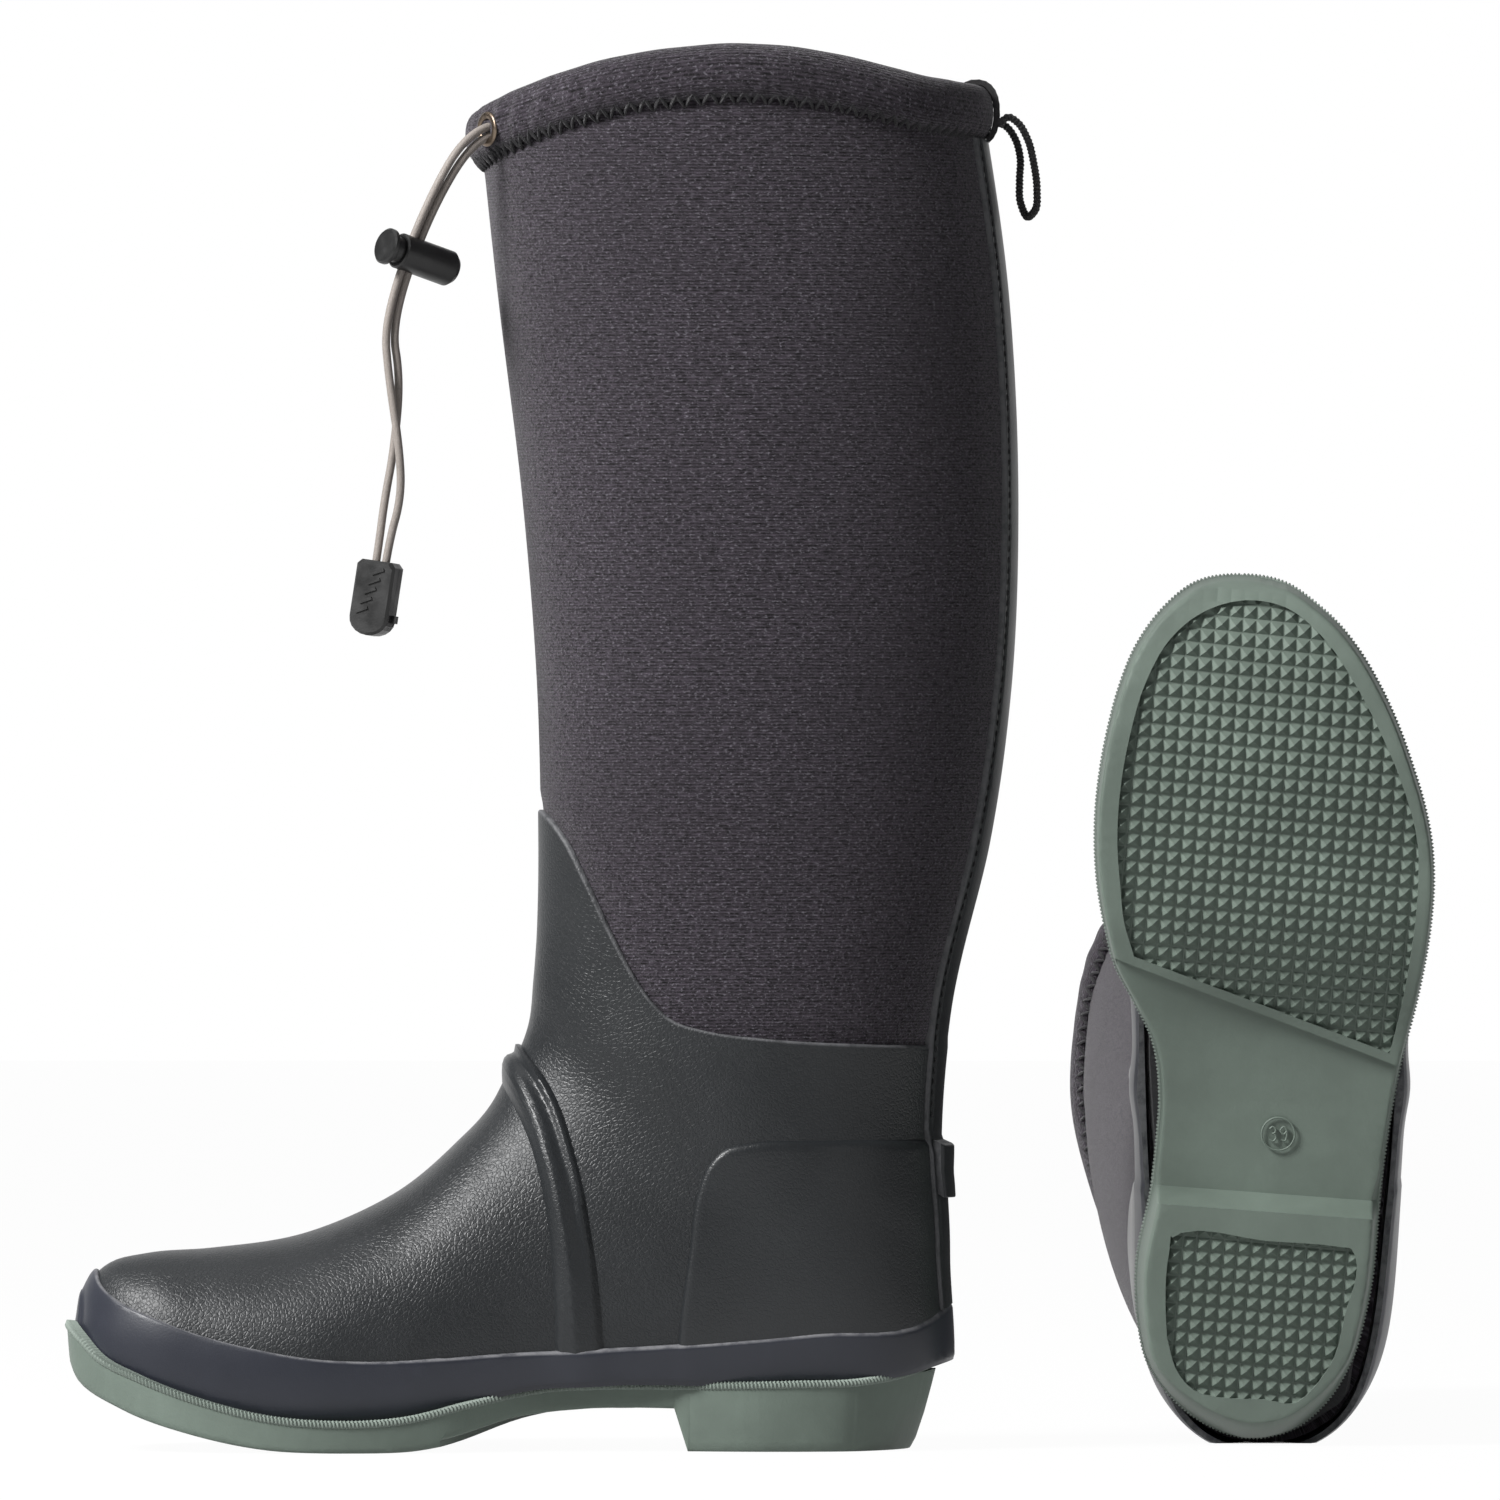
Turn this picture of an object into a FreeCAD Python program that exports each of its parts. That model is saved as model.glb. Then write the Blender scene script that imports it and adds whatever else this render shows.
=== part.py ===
import FreeCAD, Part
import math
import os
from FreeCAD import Vector

# A pair of riding wellingtons: the right boot stands, the left one lies on its back.
# Each boot is drawn in its own frame: the heel's back edge near x = 0, the toe towards -X,
# the big toe's side towards -Y, the ground at z = 0. All sizes are in mm.

# Overall sizes
sole_length = 277.4
boot_height = 439.5
ring_points = 20

# Walls and layers, measured outwards from the rubber's outer face
rubber_wall = 1.4
neoprene_wall = 2.9
layer_gap = 0.3
seat_gap = 0.2
foxing_thickness = 2.0
counter_thickness = 1.3
stay_thickness = 1.2
spur_thickness = 2.4
band_height = 3.6
board_thickness = 2.0
insole_thickness = 4.0
shank_thickness = 1.2
shank_width = 16.0
shank_front = -150.0
shank_back = -48.0

# Moulded outsole
sole_rim = 6.5
tread_pitch = 4.55
tread_depth = 2.4
pyramid_tip = 0.5
heel_front = -85.0
ground_clearance = 0.0

# Drawcord collar
collar_depth = 17.0
collar_half_thickness = 5.2
collar_seat = 1.1
collar_centre_offset = -1.6
tunnel_radius = 2.3
cord_diameter = 2.6
cord_clearance = 0.25

# Eyelet
eyelet_outer = 11.0
eyelet_bore = 6.0
eyelet_flange = 0.9
eyelet_side_angle = 24.0
eyelet_drop = 1.5

# Cord lock and the clip at the cord's ends
lock_outer = 11.3
lock_bore = 8.6
lock_mouth = 5.0
lock_length = 22.0
lock_floor = 1.4
lock_travel = 2.0
lock_slide = 6.0
plunger_diameter = 8.4
cap_diameter = 11.5
cap_thickness = 2.2
neck_length = 3.2
spring_wire = 0.7
spring_turns = 4
clip_width = 13.0
clip_length = 23.5
clip_depth = 8.0
clip_split = 0.1
clip_round = 5.4
clip_corner = 1.5
clip_well = 1.6
clip_well_depth = 8.0

# Pull loop
braid_width = 4.0
braid_thickness = 2.4
tab_width = 9.0
tab_thickness = 1.2
loop_root_drop = 3.0

# Where the two boots stand: the pair is centred afterwards
standing_x = 62.8
pair_spacing = 161.7
lying_depth = 8.0

# Back pieces
stay_half_width = 15.0
spur_half_width = 13.0
spur_bottom = 81.0
spur_top = 97.6

strand_gap = 0.18
lock_lift = 2.6
length_ratio = sole_length / 277.4
height_ratio = boot_height / 439.5
sky = boot_height + 30.5


def at(x, z):
    return (x * length_ratio, z * height_ratio)


# Side-view lines, drawn from the toe to the heel as (x, z)
sole_top = [(-290, 52), (-273.2, 36.4), (-266.9, 30.1), (-254.7, 24.2), (-233.6, 16.6), (-212.9, 11.6),
            (-194, 10), (-171, 11), (-150.4, 15.7), (-126.5, 20.4), (-105.5, 21.4), (-84.5, 21.4),
            (-49.6, 22), (-28.3, 22.6), (-14.4, 24.8), (-4.7, 27.9), (12, 33)]
sole_ground = [(-290, 38), (-277.2, 30), (-274.3, 22.9), (-259.7, 14.1), (-235.8, 5.3), (-212.9, 0.7),
               (-192.2, 0), (-168, 0), (-166, 2.2), (-155.4, 4.7), (-134.7, 11.0), (-122.5, 12.6),
               (-94, 12.8), (-86.4, 12.6)]
foxing_top = [(-284, 76), (-267.5, 57.5), (-266, 52.1), (-260.6, 47.1), (-249.3, 41.8), (-233.6, 36.1),
              (-217.9, 32.3), (-199.4, 29.2), (-181.5, 28.3), (-160.8, 29.2), (-140, 30.8),
              (-122.5, 31.7), (-86, 33.6), (-42.4, 37.4), (-7.5, 42.1), (-1.9, 46.5), (14, 54)]
rubber_top = [(-300, 204), (-128.4, 199.7), (-121.5, 191.5), (-115.2, 179.6), (-107, 162.7),
              (-98.6, 147.3), (-93.6, 140.4), (-87.3, 134.7), (-77.6, 131.6), (-56.5, 128.7),
              (-28.3, 126.9), (-3.8, 126.2), (30, 126)]
band_front = [(-145, 122), (-140.4, 112.7), (-137.2, 107), (-133.1, 98.3), (-129.1, 85.4),
              (-126.2, 69.7), (-124.7, 52.8), (-124, 32.3), (-124, 20)]
band_back = [(-139, 133), (-132.5, 124.3), (-126.2, 116.2), (-121.5, 107), (-118.1, 96.4),
             (-114.6, 83.2), (-112.1, 69.7), (-109.3, 54), (-107.4, 33.6), (-107, 20)]
counter_line = [(-85.1, 20), (-85.1, 32.3), (-81.6, 61.9), (-78.8, 81.3), (-76, 88.5), (-70.6, 94.2),
                (-63.4, 96.1), (-42.4, 96.9), (20, 96.4)]

# Sole outline seen from below, as (x from the heel's back edge, y)
sole_outline = [(-276.9, -6.6), (-274.6, 6.9), (-268.4, 16.6), (-262.2, 23.5), (-255.9, 28.6),
                (-243.5, 36.1), (-231, 41.8), (-218.5, 46.2), (-206, 49.9), (-193.6, 52.2),
                (-183, 52.8), (-166.4, 51.8), (-143.2, 48), (-122.1, 43), (-108.6, 40.5),
                (-89.5, 37.7), (-43.3, 32.7), (-26, 27.9), (-12.5, 20.1), (-3.8, 10.7),
                (-0.3, -4.7), (-6.6, -20.1), (-15.3, -29.8), (-26, -36.4), (-39.5, -39.3),
                (-56.8, -39.9), (-83.5, -35), (-97, -33.6), (-112.3, -32.7), (-129.7, -35),
                (-143.2, -41.3), (-154.7, -47), (-166.4, -50), (-181.8, -52.6), (-206, -53),
                (-218.5, -51.5), (-231, -49), (-243.5, -45.5), (-255.9, -40.2), (-268.4, -30.5),
                (-274.6, -21.7)]
fore_tread = [(-270.9, -6.6), (-269.3, 8.8), (-261.8, 20.1), (-246.4, 31.7), (-229.2, 40.5),
              (-209.7, 45.2), (-190.6, 48), (-173.3, 47.7), (-156, 46.2), (-135.2, 43.3),
              (-124.8, 40.5), (-123.1, 38), (-155.4, -42.2), (-158, -43.3), (-177.1, -45.8),
              (-194.3, -46.2), (-217.6, -44.3), (-240.5, -39.2), (-259, -29.8)]
heel_tread = [(-67, -28.9), (-63.6, 27.9), (-37.3, 26.1), (-22, 20.1), (-12.5, 13.5), (-14.7, -22.9),
              (-22, -28.9), (-33.6, -31.7)]

# Cross-sections of the boot from toe to collar. Each one is a rounded oval in a plane across
# the foot: its top point, its bottom point, half width, side shift, where along bottom-to-top
# it is widest, and the roundness of its upper and lower halves.
sections = [
    ((-271.2, 49), (-271.2, 20), 7.5, -5, 0.45, 2.3, 2.3),
    ((-269, 53.5), (-269, 16), 14, -4.9, 0.42, 2.3, 2.3),
    ((-263.5, 58.3), (-263.5, 9), 22.3, -4.4, 0.42, 2.3, 2.4),
    ((-252, 61.2), (-252, 3), 30.8, -3.6, 0.42, 2.3, 2.4),
    ((-232, 62.8), (-232, -6), 39, -1.5, 0.42, 2.2, 2.5),
    ((-203, 67.3), (-203, -10), 45.5, 1.3, 0.42, 2.1, 2.5),
    ((-175, 79.5), (-175, -10), 45, 2.6, 0.40, 2.1, 2.5),
    ((-152, 98.8), (-137.5, -6), 42, 2.4, 0.38, 2.1, 2.5),
    ((-139, 117.5), (-66, -2), 40.5, 1.8, 0.39, 2.1, 2.4),
    ((-132.4, 133), (-5, 12), 40, 0.6, 0.42, 2.1, 2.2),
    ((-130.9, 146.4), (-2.2, 62.7), 39.5, 0, 0.44, 2.1, 2.1),
    ((-130.2, 155), (-3.6, 98.8), 38.5, 0, 0.46, 2.1, 2.0),
    ((-129.7, 163.7), (-0.6, 135.7), 38.5, 0, 0.48, 2.1, 2.0),
    ((-129.3, 190), (11.8, 190), 41, 0, 0.5, 2.1, 2.0),
    ((-130.3, 235), (18.2, 235), 44.5, 0, 0.5, 2.1, 2.0),
    ((-135.1, 298), (20.7, 298), 48, 0, 0.5, 2.1, 2.0),
    ((-142.6, 360), (17.9, 360), 50, 0, 0.5, 2.1, 2.0),
    ((-151.5, 445), (5.8, 445), 50, 0, 0.5, 2.1, 2.0),
]
# How far each section near the toe also moves forward when a layer is added
toe_share = [1.0, 0.9, 0.65, 0.35, 0.15]


def section_point(section, share, turn, layer):
    (fx, fz), (bx, bz), half_width, shift, widest, upper, lower = section
    fx, fz = at(fx, fz)
    bx, bz = at(bx, bz)
    length = math.hypot(fx - bx, fz - bz)
    ux, uz = (fx - bx) / length, (fz - bz) / length
    c, s = math.cos(turn), math.sin(turn)
    power = upper if c >= 0 else lower
    reach = ((1 - widest) if c >= 0 else widest) * length + layer
    along = math.copysign(abs(c) ** (2 / power), c) * reach
    across = math.copysign(abs(s) ** (2 / power), s) * (half_width + layer)
    middle = widest * length
    return Vector(bx + ux * (middle + along) - share * layer, shift + across, bz + uz * (middle + along))


def surface_point(position, turn, layer):
    """The point of the boot's surface at a real-valued position along the list of sections."""
    low = min(int(position), len(sections) - 2)
    part = position - low
    ends = []
    for i in (low, low + 1):
        share = toe_share[i] if i < len(toe_share) else 0.0
        ends.append(section_point(sections[i], share, turn, layer))
    return ends[0] * (1 - part) + ends[1] * part


def faceted_solid(points, facets):
    shell = Part.Shape()
    shell.makeShapeFromMesh((points, facets), 0.001)
    solid = Part.makeSolid(shell)
    if solid.Volume < 0:
        solid.reverse()
    return solid


def tube_solid(rings, closed=False):
    """A solid from rings of points: each ring joined to the next, the ends capped or joined."""
    n, m = len(rings[0]), len(rings)
    points = [p for ring in rings for p in ring]
    facets = []
    for j in range(m if closed else m - 1):
        a, b = j * n, ((j + 1) % m) * n
        for i in range(n):
            k = (i + 1) % n
            if i % 2:
                facets += [(a + i, a + k, b + k), (a + i, b + k, b + i)]
            else:
                facets += [(a + i, a + k, b + i), (a + k, b + k, b + i)]
    if not closed:
        for base, flip in ((0, True), ((m - 1) * n, False)):
            for i in range(1, n - 1):
                cap = (base, base + i, base + i + 1)
                facets.append(cap[::-1] if flip else cap)
    return faceted_solid(points, facets)


def boot_body(layer):
    rings = []
    for i in range(len(sections)):
        rings.append([surface_point(i, 2 * math.pi * k / ring_points, layer) for k in range(ring_points)])
    return tube_solid(rings)


def side_zone(line, far_z, shift=0.0, reach=90.0):
    """Everything between a side-view line, moved up by shift, and the level far_z."""
    points = [Vector(x, -reach, z + shift) for x, z in (at(*p) for p in line)]
    corners = points + [Vector(points[-1].x, -reach, far_z), Vector(points[0].x, -reach, far_z)]
    return Part.Face(Part.makePolygon(corners + [corners[0]])).extrude(Vector(0, 2 * reach, 0))


def box(x0, x1, y0, y1, z0, z1):
    return Part.makeBox(x1 - x0, y1 - y0, z1 - z0, Vector(x0, y0, z0))


def largest(shape):
    return max(shape.Solids, key=lambda s: s.Volume)


def line_z(line, x):
    for (x0, z0), (x1, z1) in zip(line, line[1:]):
        if x0 <= x <= x1:
            return z0 + (z1 - z0) * (x - x0) / (x1 - x0)
    return line[-1][1] if x > line[-1][0] else line[0][1]


def line_x(line, z):
    """The x of a line that falls with z from its first to its last point."""
    for (x0, z0), (x1, z1) in zip(line, line[1:]):
        if z1 <= z <= z0:
            return x0 + (x1 - x0) * (z0 - z) / (z0 - z1)
    return line[0][0] if z > line[0][1] else line[-1][0]


def inside(outline, x, y):
    hit = False
    for (x0, y0), (x1, y1) in zip(outline, outline[1:] + outline[:1]):
        if (y0 > y) != (y1 > y) and x < x0 + (y - y0) * (x1 - x0) / (y1 - y0):
            hit = not hit
    return hit


def plan_prism(outline, z0, z1):
    points = [Vector(x * length_ratio, y, z0) for x, y in outline]
    curve = Part.BSplineCurve()
    curve.interpolate(Points=points, PeriodicFlag=True)
    return Part.Face(Part.Wire([curve.toShape()])).extrude(Vector(0, 0, z1 - z0))


def plan_polygon(outline, z0, z1):
    points = [Vector(x * length_ratio, y, z0) for x, y in outline]
    return Part.Face(Part.makePolygon(points + [points[0]])).extrude(Vector(0, 0, z1 - z0))


def ground_z(x):
    if x > heel_front:
        return ground_clearance
    return line_z(sole_ground, x)


def tread_block(outline, x_start, rows, columns, y_start):
    """Rows of square pyramids on a floor that follows the sole's ground line."""
    x_lines = [x_start + tread_pitch * j for j in range(rows + 1)]
    floor = [ground_z(x) + tread_depth for x in x_lines]
    points, facets, index = [], [], {}

    def vertex(key, p):
        if key not in index:
            index[key] = len(points)
            points.append(p)
        return index[key]

    filled = set()
    for j in range(rows):
        for i in range(columns):
            x0, y0 = x_start + tread_pitch * j, y_start + tread_pitch * i
            corners = [(x0 + a * tread_pitch, y0 + b * tread_pitch) for a in (0, 1) for b in (0, 1)]
            if all(inside(outline, x, y) for x, y in corners):
                filled.add((i, j))
    sink = 0.6
    for i, j in filled:
        quad = []
        roof = []
        for di, dj in ((0, 0), (0, 1), (1, 1), (1, 0)):
            x, y, z = x_lines[j + dj], y_start + tread_pitch * (i + di), floor[j + dj]
            quad.append(vertex(("f", i + di, j + dj), Vector(x, y, z)))
            roof.append(vertex(("r", i + di, j + dj), Vector(x, y, z + sink)))
        xm = (x_lines[j] + x_lines[j + 1]) / 2
        ym = y_start + tread_pitch * (i + 0.5)
        zm = (floor[j] + floor[j + 1]) / 2 - tread_depth + 0.05
        tip = vertex(("t", i, j), Vector(xm, ym, zm))
        for k in range(4):
            facets.append((quad[k], quad[(k + 1) % 4], tip))
        facets.append((roof[0], roof[2], roof[1]))
        facets.append((roof[0], roof[3], roof[2]))
        sides = ((i - 1, j), (i, j + 1), (i + 1, j), (i, j - 1))
        for k in range(4):
            if sides[k] not in filled:
                a, b = k, (k + 1) % 4
                facets.append((quad[b], quad[a], roof[a]))
                facets.append((quad[b], roof[a], roof[b]))
    return faceted_solid(points, facets), len(filled)


def make_outsole():
    top = side_zone(sole_top, -20)
    ground = [at(x, z) for x, z in sole_ground] + [(heel_front * length_ratio, ground_clearance)]
    ground += [(-13.8 * length_ratio, ground_clearance), (-8.8 * length_ratio, 7.9),
               (-5.2 * length_ratio, 24), (4 * length_ratio, 40)]
    corners = [Vector(x, -90, z) for x, z in ground] + [Vector(4, -90, 80), Vector(-290 * length_ratio, -90, 80)]
    above = Part.Face(Part.makePolygon(corners + [corners[0]])).extrude(Vector(0, 180, 0))
    sole = plan_prism(sole_outline, -10, 70).common(top).common(above)
    for outline, x_start, rows, columns, y_start in (
            (fore_tread, -270.0, 33, 21, -47.3), (heel_tread, -66.6, 12, 13, -30.4)):
        pocket = plan_polygon(outline, -5, 40)
        x_lines = [x_start + tread_pitch * j for j in range(-2, rows + 3)]
        floor_line = [(x / length_ratio, ground_z(x) + tread_depth) for x in x_lines]
        corners = [Vector(x * length_ratio, -60, z) for x, z in floor_line]
        corners += [Vector(corners[-1].x, -60, -6), Vector(corners[0].x, -60, -6)]
        below = Part.Face(Part.makePolygon(corners + [corners[0]])).extrude(Vector(0, 120, 0))
        sole = sole.cut(pocket.common(below))
        block, count = tread_block(outline, x_start, rows, columns, y_start)
        print("pyramids", count)
        sole = sole.fuse(block)
    return largest(sole)


def make_band():
    """The raised rib over the instep, from one side of the foxing to the other."""
    profile = [(0.0, 0.35), (0.22, 0.95), (0.45, 1.0), (0.72, 0.45), (0.86, 0.62), (1.0, 0.2)]
    steps = 15
    rings = []
    for k in range(steps + 1):
        turn = math.radians(-116 + 232 * k / steps)
        edges = []
        for line in (band_front, band_back):
            low, high = 5.2, 11.0
            for _ in range(30):
                mid = (low + high) / 2
                p = surface_point(mid, turn, 0)
                if p.x < line_x(line, p.z):
                    low = mid
                else:
                    high = mid
            edges.append(low)
        ring = []
        for share, height in profile:
            where = edges[0] + (edges[1] - edges[0]) * share
            ring.append(surface_point(where, turn, seat_gap + band_height * height))
        for share in (1.0, 0.66, 0.33, 0.0):
            where = edges[0] + (edges[1] - edges[0]) * share
            ring.append(surface_point(where, turn, seat_gap))
        rings.append(ring)
    return tube_solid(rings)


def rim_height(x):
    """The saddle-shaped top edge of the collar: high at the sides, low at the front."""
    line = [(-152, 417.3), (-145.5, 420.8), (-132.5, 426.4), (-121.2, 430.2), (-107.4, 434),
            (-83.2, 437.8), (-62.8, 439.1), (-43, 437.8), (-22.6, 434), (-7.5, 430.2), (14, 427.2)]
    return line_z(line, x / length_ratio) * height_ratio


def collar_axis(turn):
    """Centre of the collar's roll, with its outward and upward directions."""
    def raw(t):
        low = surface_point(16.5, t, 0)
        middle = surface_point(16.5, t, -1)
        z = rim_height(low.x) - collar_depth / 2
        where = 16 + (z - sections[16][0][1] * height_ratio) / ((sections[17][0][1] - sections[16][0][1]) * height_ratio)
        p = surface_point(where, t, collar_centre_offset)
        out = p - surface_point(where, t, collar_centre_offset - 1)
        return p, out.normalize()
    p, out = raw(turn)
    ahead = (raw(turn + 0.02)[0] - raw(turn - 0.02)[0]).normalize()
    up = Vector(0, 0, 1)
    side = ahead.cross(up).normalize()
    if side.dot(out) < 0:
        side = side * -1
    return p, side, up


def collar_ring(turn, half_thickness, half_height, sides, power=2.4):
    p, out, up = collar_axis(turn)
    ring = []
    for k in range(sides):
        a = 2 * math.pi * (k + 0.5) / sides
        c, s = math.cos(a), math.sin(a)
        ring.append(p + out * (math.copysign(abs(c) ** (2 / power), c) * half_thickness)
                    + up * (math.copysign(abs(s) ** (2 / power), s) * half_height))
    return ring


def collar_solid(half_thickness, half_height, sides, power=2.4, count=30):
    return tube_solid([collar_ring(2 * math.pi * k / count, half_thickness, half_height, sides, power)
                       for k in range(count)], closed=True)


def seam_zone(drop):
    """Everything under the collar's seam, as a solid that ends drop below it."""
    xs = [-300, -152] + [-150 + 5 * k for k in range(40)]
    line = [(x, rim_height(max(-151.9, min(13.9, x))) - collar_depth - drop) for x in xs]
    return side_zone([(x / length_ratio, z / height_ratio) for x, z in line], 0)


def cord_solid(route, diameter, sides=8):
    """Straight runs joined by tangent arcs, swept with a many-sided section."""
    pieces, print_radii = [], []
    pts = [Vector(*p) for p in route]
    edges = []
    start = pts[0]
    for i in range(1, len(pts) - 1):
        a, b, c = pts[i - 1], pts[i], pts[i + 1]
        u, v = (a - b), (c - b)
        run = min(u.Length, v.Length)
        u.normalize()
        v.normalize()
        half_turn = (math.pi - u.getAngle(v)) / 2
        if half_turn < 0.004:
            continue
        reach = 0.45 * run
        radius = reach / math.tan(half_turn)
        print_radii.append(round(radius, 1))
        p, q = b + u * reach, b + v * reach
        bisector = (u + v).normalize()
        centre = b + bisector * (radius / math.cos(half_turn))
        middle = centre - bisector * radius
        edges.append(Part.makeLine(start, p))
        edges.append(Part.Arc(p, middle, q).toShape())
        start = q
    edges.append(Part.makeLine(start, pts[-1]))
    wire = Part.Wire(edges)
    first = (edges[0].valueAt(edges[0].LastParameter) - edges[0].valueAt(edges[0].FirstParameter)).normalize()
    helper = Vector(0, 1, 0) if abs(first.y) < 0.9 else Vector(1, 0, 0)
    e1 = first.cross(helper).normalize()
    e2 = first.cross(e1).normalize()
    radius = diameter / 2 / math.sqrt(math.sin(2 * math.pi / sides) * sides / (2 * math.pi))
    ring = [pts[0] + e1 * (radius * math.cos(2 * math.pi * (k + 0.5) / sides))
            + e2 * (radius * math.sin(2 * math.pi * (k + 0.5) / sides)) for k in range(sides)]
    profile = Part.makePolygon(ring + [ring[0]])
    solid = wire.makePipeShell([profile], True, False)
    print("cord: length", round(wire.Length, 1), "radii", print_radii,
          "volume share", round(solid.Volume / (math.pi * diameter ** 2 / 4 * wire.Length), 3))
    return solid


def frame_at(origin, z_axis, x_hint):
    z = Vector(z_axis).normalize()
    x = (x_hint - z * x_hint.dot(z)).normalize()
    y = z.cross(x)
    return FreeCAD.Matrix(x.x, y.x, z.x, origin.x, x.y, y.y, z.y, origin.y, x.z, y.z, z.z, origin.z, 0, 0, 0, 1)


def revolved(profile):
    """A solid turned round the Z axis from (radius, z) corners."""
    points = [Vector(r, 0, z) for r, z in profile]
    return Part.Face(Part.makePolygon(points + [points[0]])).revolve(Vector(0, 0, 0), Vector(0, 0, 1), 360)


def slot(width, height, length):
    """A racetrack-shaped cutter along Y, wide in Z: height is its opening in X."""
    half = (width - height) / 2
    core = Part.makeBox(height, length, 2 * half, Vector(-height / 2, -length / 2, -half))
    ends = [Part.makeCylinder(height / 2, length, Vector(0, -length / 2, s * half), Vector(0, 1, 0)) for s in (-1, 1)]
    return core.fuse(ends[0]).fuse(ends[1])


def make_lock():
    """Cord lock in its own frame: Z runs from the cap to the closed end, the cords run along Y."""
    chamfer = 1.2
    end = lock_length - lock_mouth
    barrel = revolved([(lock_bore / 2, -lock_mouth), (lock_outer / 2 - 0.5, -lock_mouth),
                       (lock_outer / 2, -lock_mouth + 0.5), (lock_outer / 2, end - 2.2),
                       (lock_outer / 2 - chamfer, end - 0.6), (lock_outer / 2 - 2.4, end), (0, end),
                       (0, end - lock_floor), (lock_bore / 2, end - lock_floor)])
    hole_width = 2 * cord_diameter + 2 * cord_clearance
    hole_height = cord_diameter + 2 * cord_clearance
    barrel = barrel.cut(slot(hole_width, hole_height, 2 * lock_outer))
    plunger_end = 6.4
    cap_face = -lock_mouth - neck_length
    plunger = revolved([(0, cap_face - cap_thickness), (cap_diameter / 2 - 0.6, cap_face - cap_thickness),
                        (cap_diameter / 2, cap_face - cap_thickness + 0.6), (cap_diameter / 2, cap_face - 0.4),
                        (cap_diameter / 2 - 0.4, cap_face), (plunger_diameter / 2, cap_face),
                        (plunger_diameter / 2, plunger_end), (0, plunger_end)])
    cutter = slot(hole_width + lock_travel, hole_height, 2 * lock_outer)
    cutter.translate(Vector(0, 0, -lock_travel / 2))
    plunger = plunger.cut(cutter)
    low, high = plunger_end + 0.1, end - lock_floor - 0.1
    coil = lock_bore / 2 - spring_wire / 2 - 0.35
    per_turn = 12
    rings = []
    for k in range(spring_turns * per_turn + 1):
        a = 2 * math.pi * k / per_turn
        z = low + spring_wire / 2 + (high - low - spring_wire) * k / (spring_turns * per_turn)
        centre = Vector(coil * math.cos(a), coil * math.sin(a), z)
        out = Vector(math.cos(a), math.sin(a), 0)
        rings.append([centre + out * (spring_wire / 2 * math.cos(b)) + Vector(0, 0, spring_wire / 2 * math.sin(b))
                      for b in (math.pi / 4 + math.pi / 2 * q for q in range(4))])
    spring = tube_solid(rings)
    return barrel, plunger, spring


def make_clip():
    """Cord-end clip in its own frame: Z up to where the cords enter, -Y its front."""
    w, h = clip_width / 2, clip_length
    low = -h / 2 + clip_round
    bevel = 0.8

    def outline(inset, y):
        side, top = w - inset, h / 2 - inset
        ring = [Vector(side, y, top - clip_corner), Vector(side - clip_corner, y, top),
                Vector(-side + clip_corner, y, top), Vector(-side, y, top - clip_corner)]
        for k in range(11):
            a = math.pi * (1 + k / 10)
            ring.append(Vector(side * math.cos(a), y, low + (clip_round - inset) * math.sin(a)))
        return ring
    face = clip_depth / 2
    front = tube_solid([outline(0, -clip_split / 2), outline(0, -face + bevel), outline(bevel, -face)])
    back = tube_solid([outline(0, clip_split / 2), outline(0, face - bevel), outline(bevel, face)])
    for k in range(5):
        rib = Part.makeBox(4.2, 0.5, 0.9, Vector(-2.1, -clip_depth / 2 - 0.45, -0.45))
        rib.rotate(Vector(0, 0, 0), Vector(0, 1, 0), -25)
        rib.translate(Vector(1.2 - 0.9 * k, 0, h / 2 - 3.4 - 3.1 * k))
        front = front.fuse(rib)
    for side in (-1, 1):
        ear = Part.makeBox(1.6, clip_depth / 2 - bevel, 2.4,
                           Vector(side * w - (0.8 if side > 0 else 0.8), clip_split / 2, low - 0.6))
        back = back.fuse(ear)
    for x in (-clip_well, clip_well):
        well = Part.makeCylinder(cord_diameter / 2 + cord_clearance, clip_well_depth + 1,
                                 Vector(x, 0, h / 2 - clip_well_depth), Vector(0, 0, 1))
        front = front.cut(well)
        back = back.cut(well)
    return front, back


def placed(shape, matrix):
    out = shape.copy()
    out.transformShape(matrix)
    return out


def mirrored(shape):
    return shape.mirror(Vector(0, 0, 0), Vector(0, 1, 0))


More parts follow.
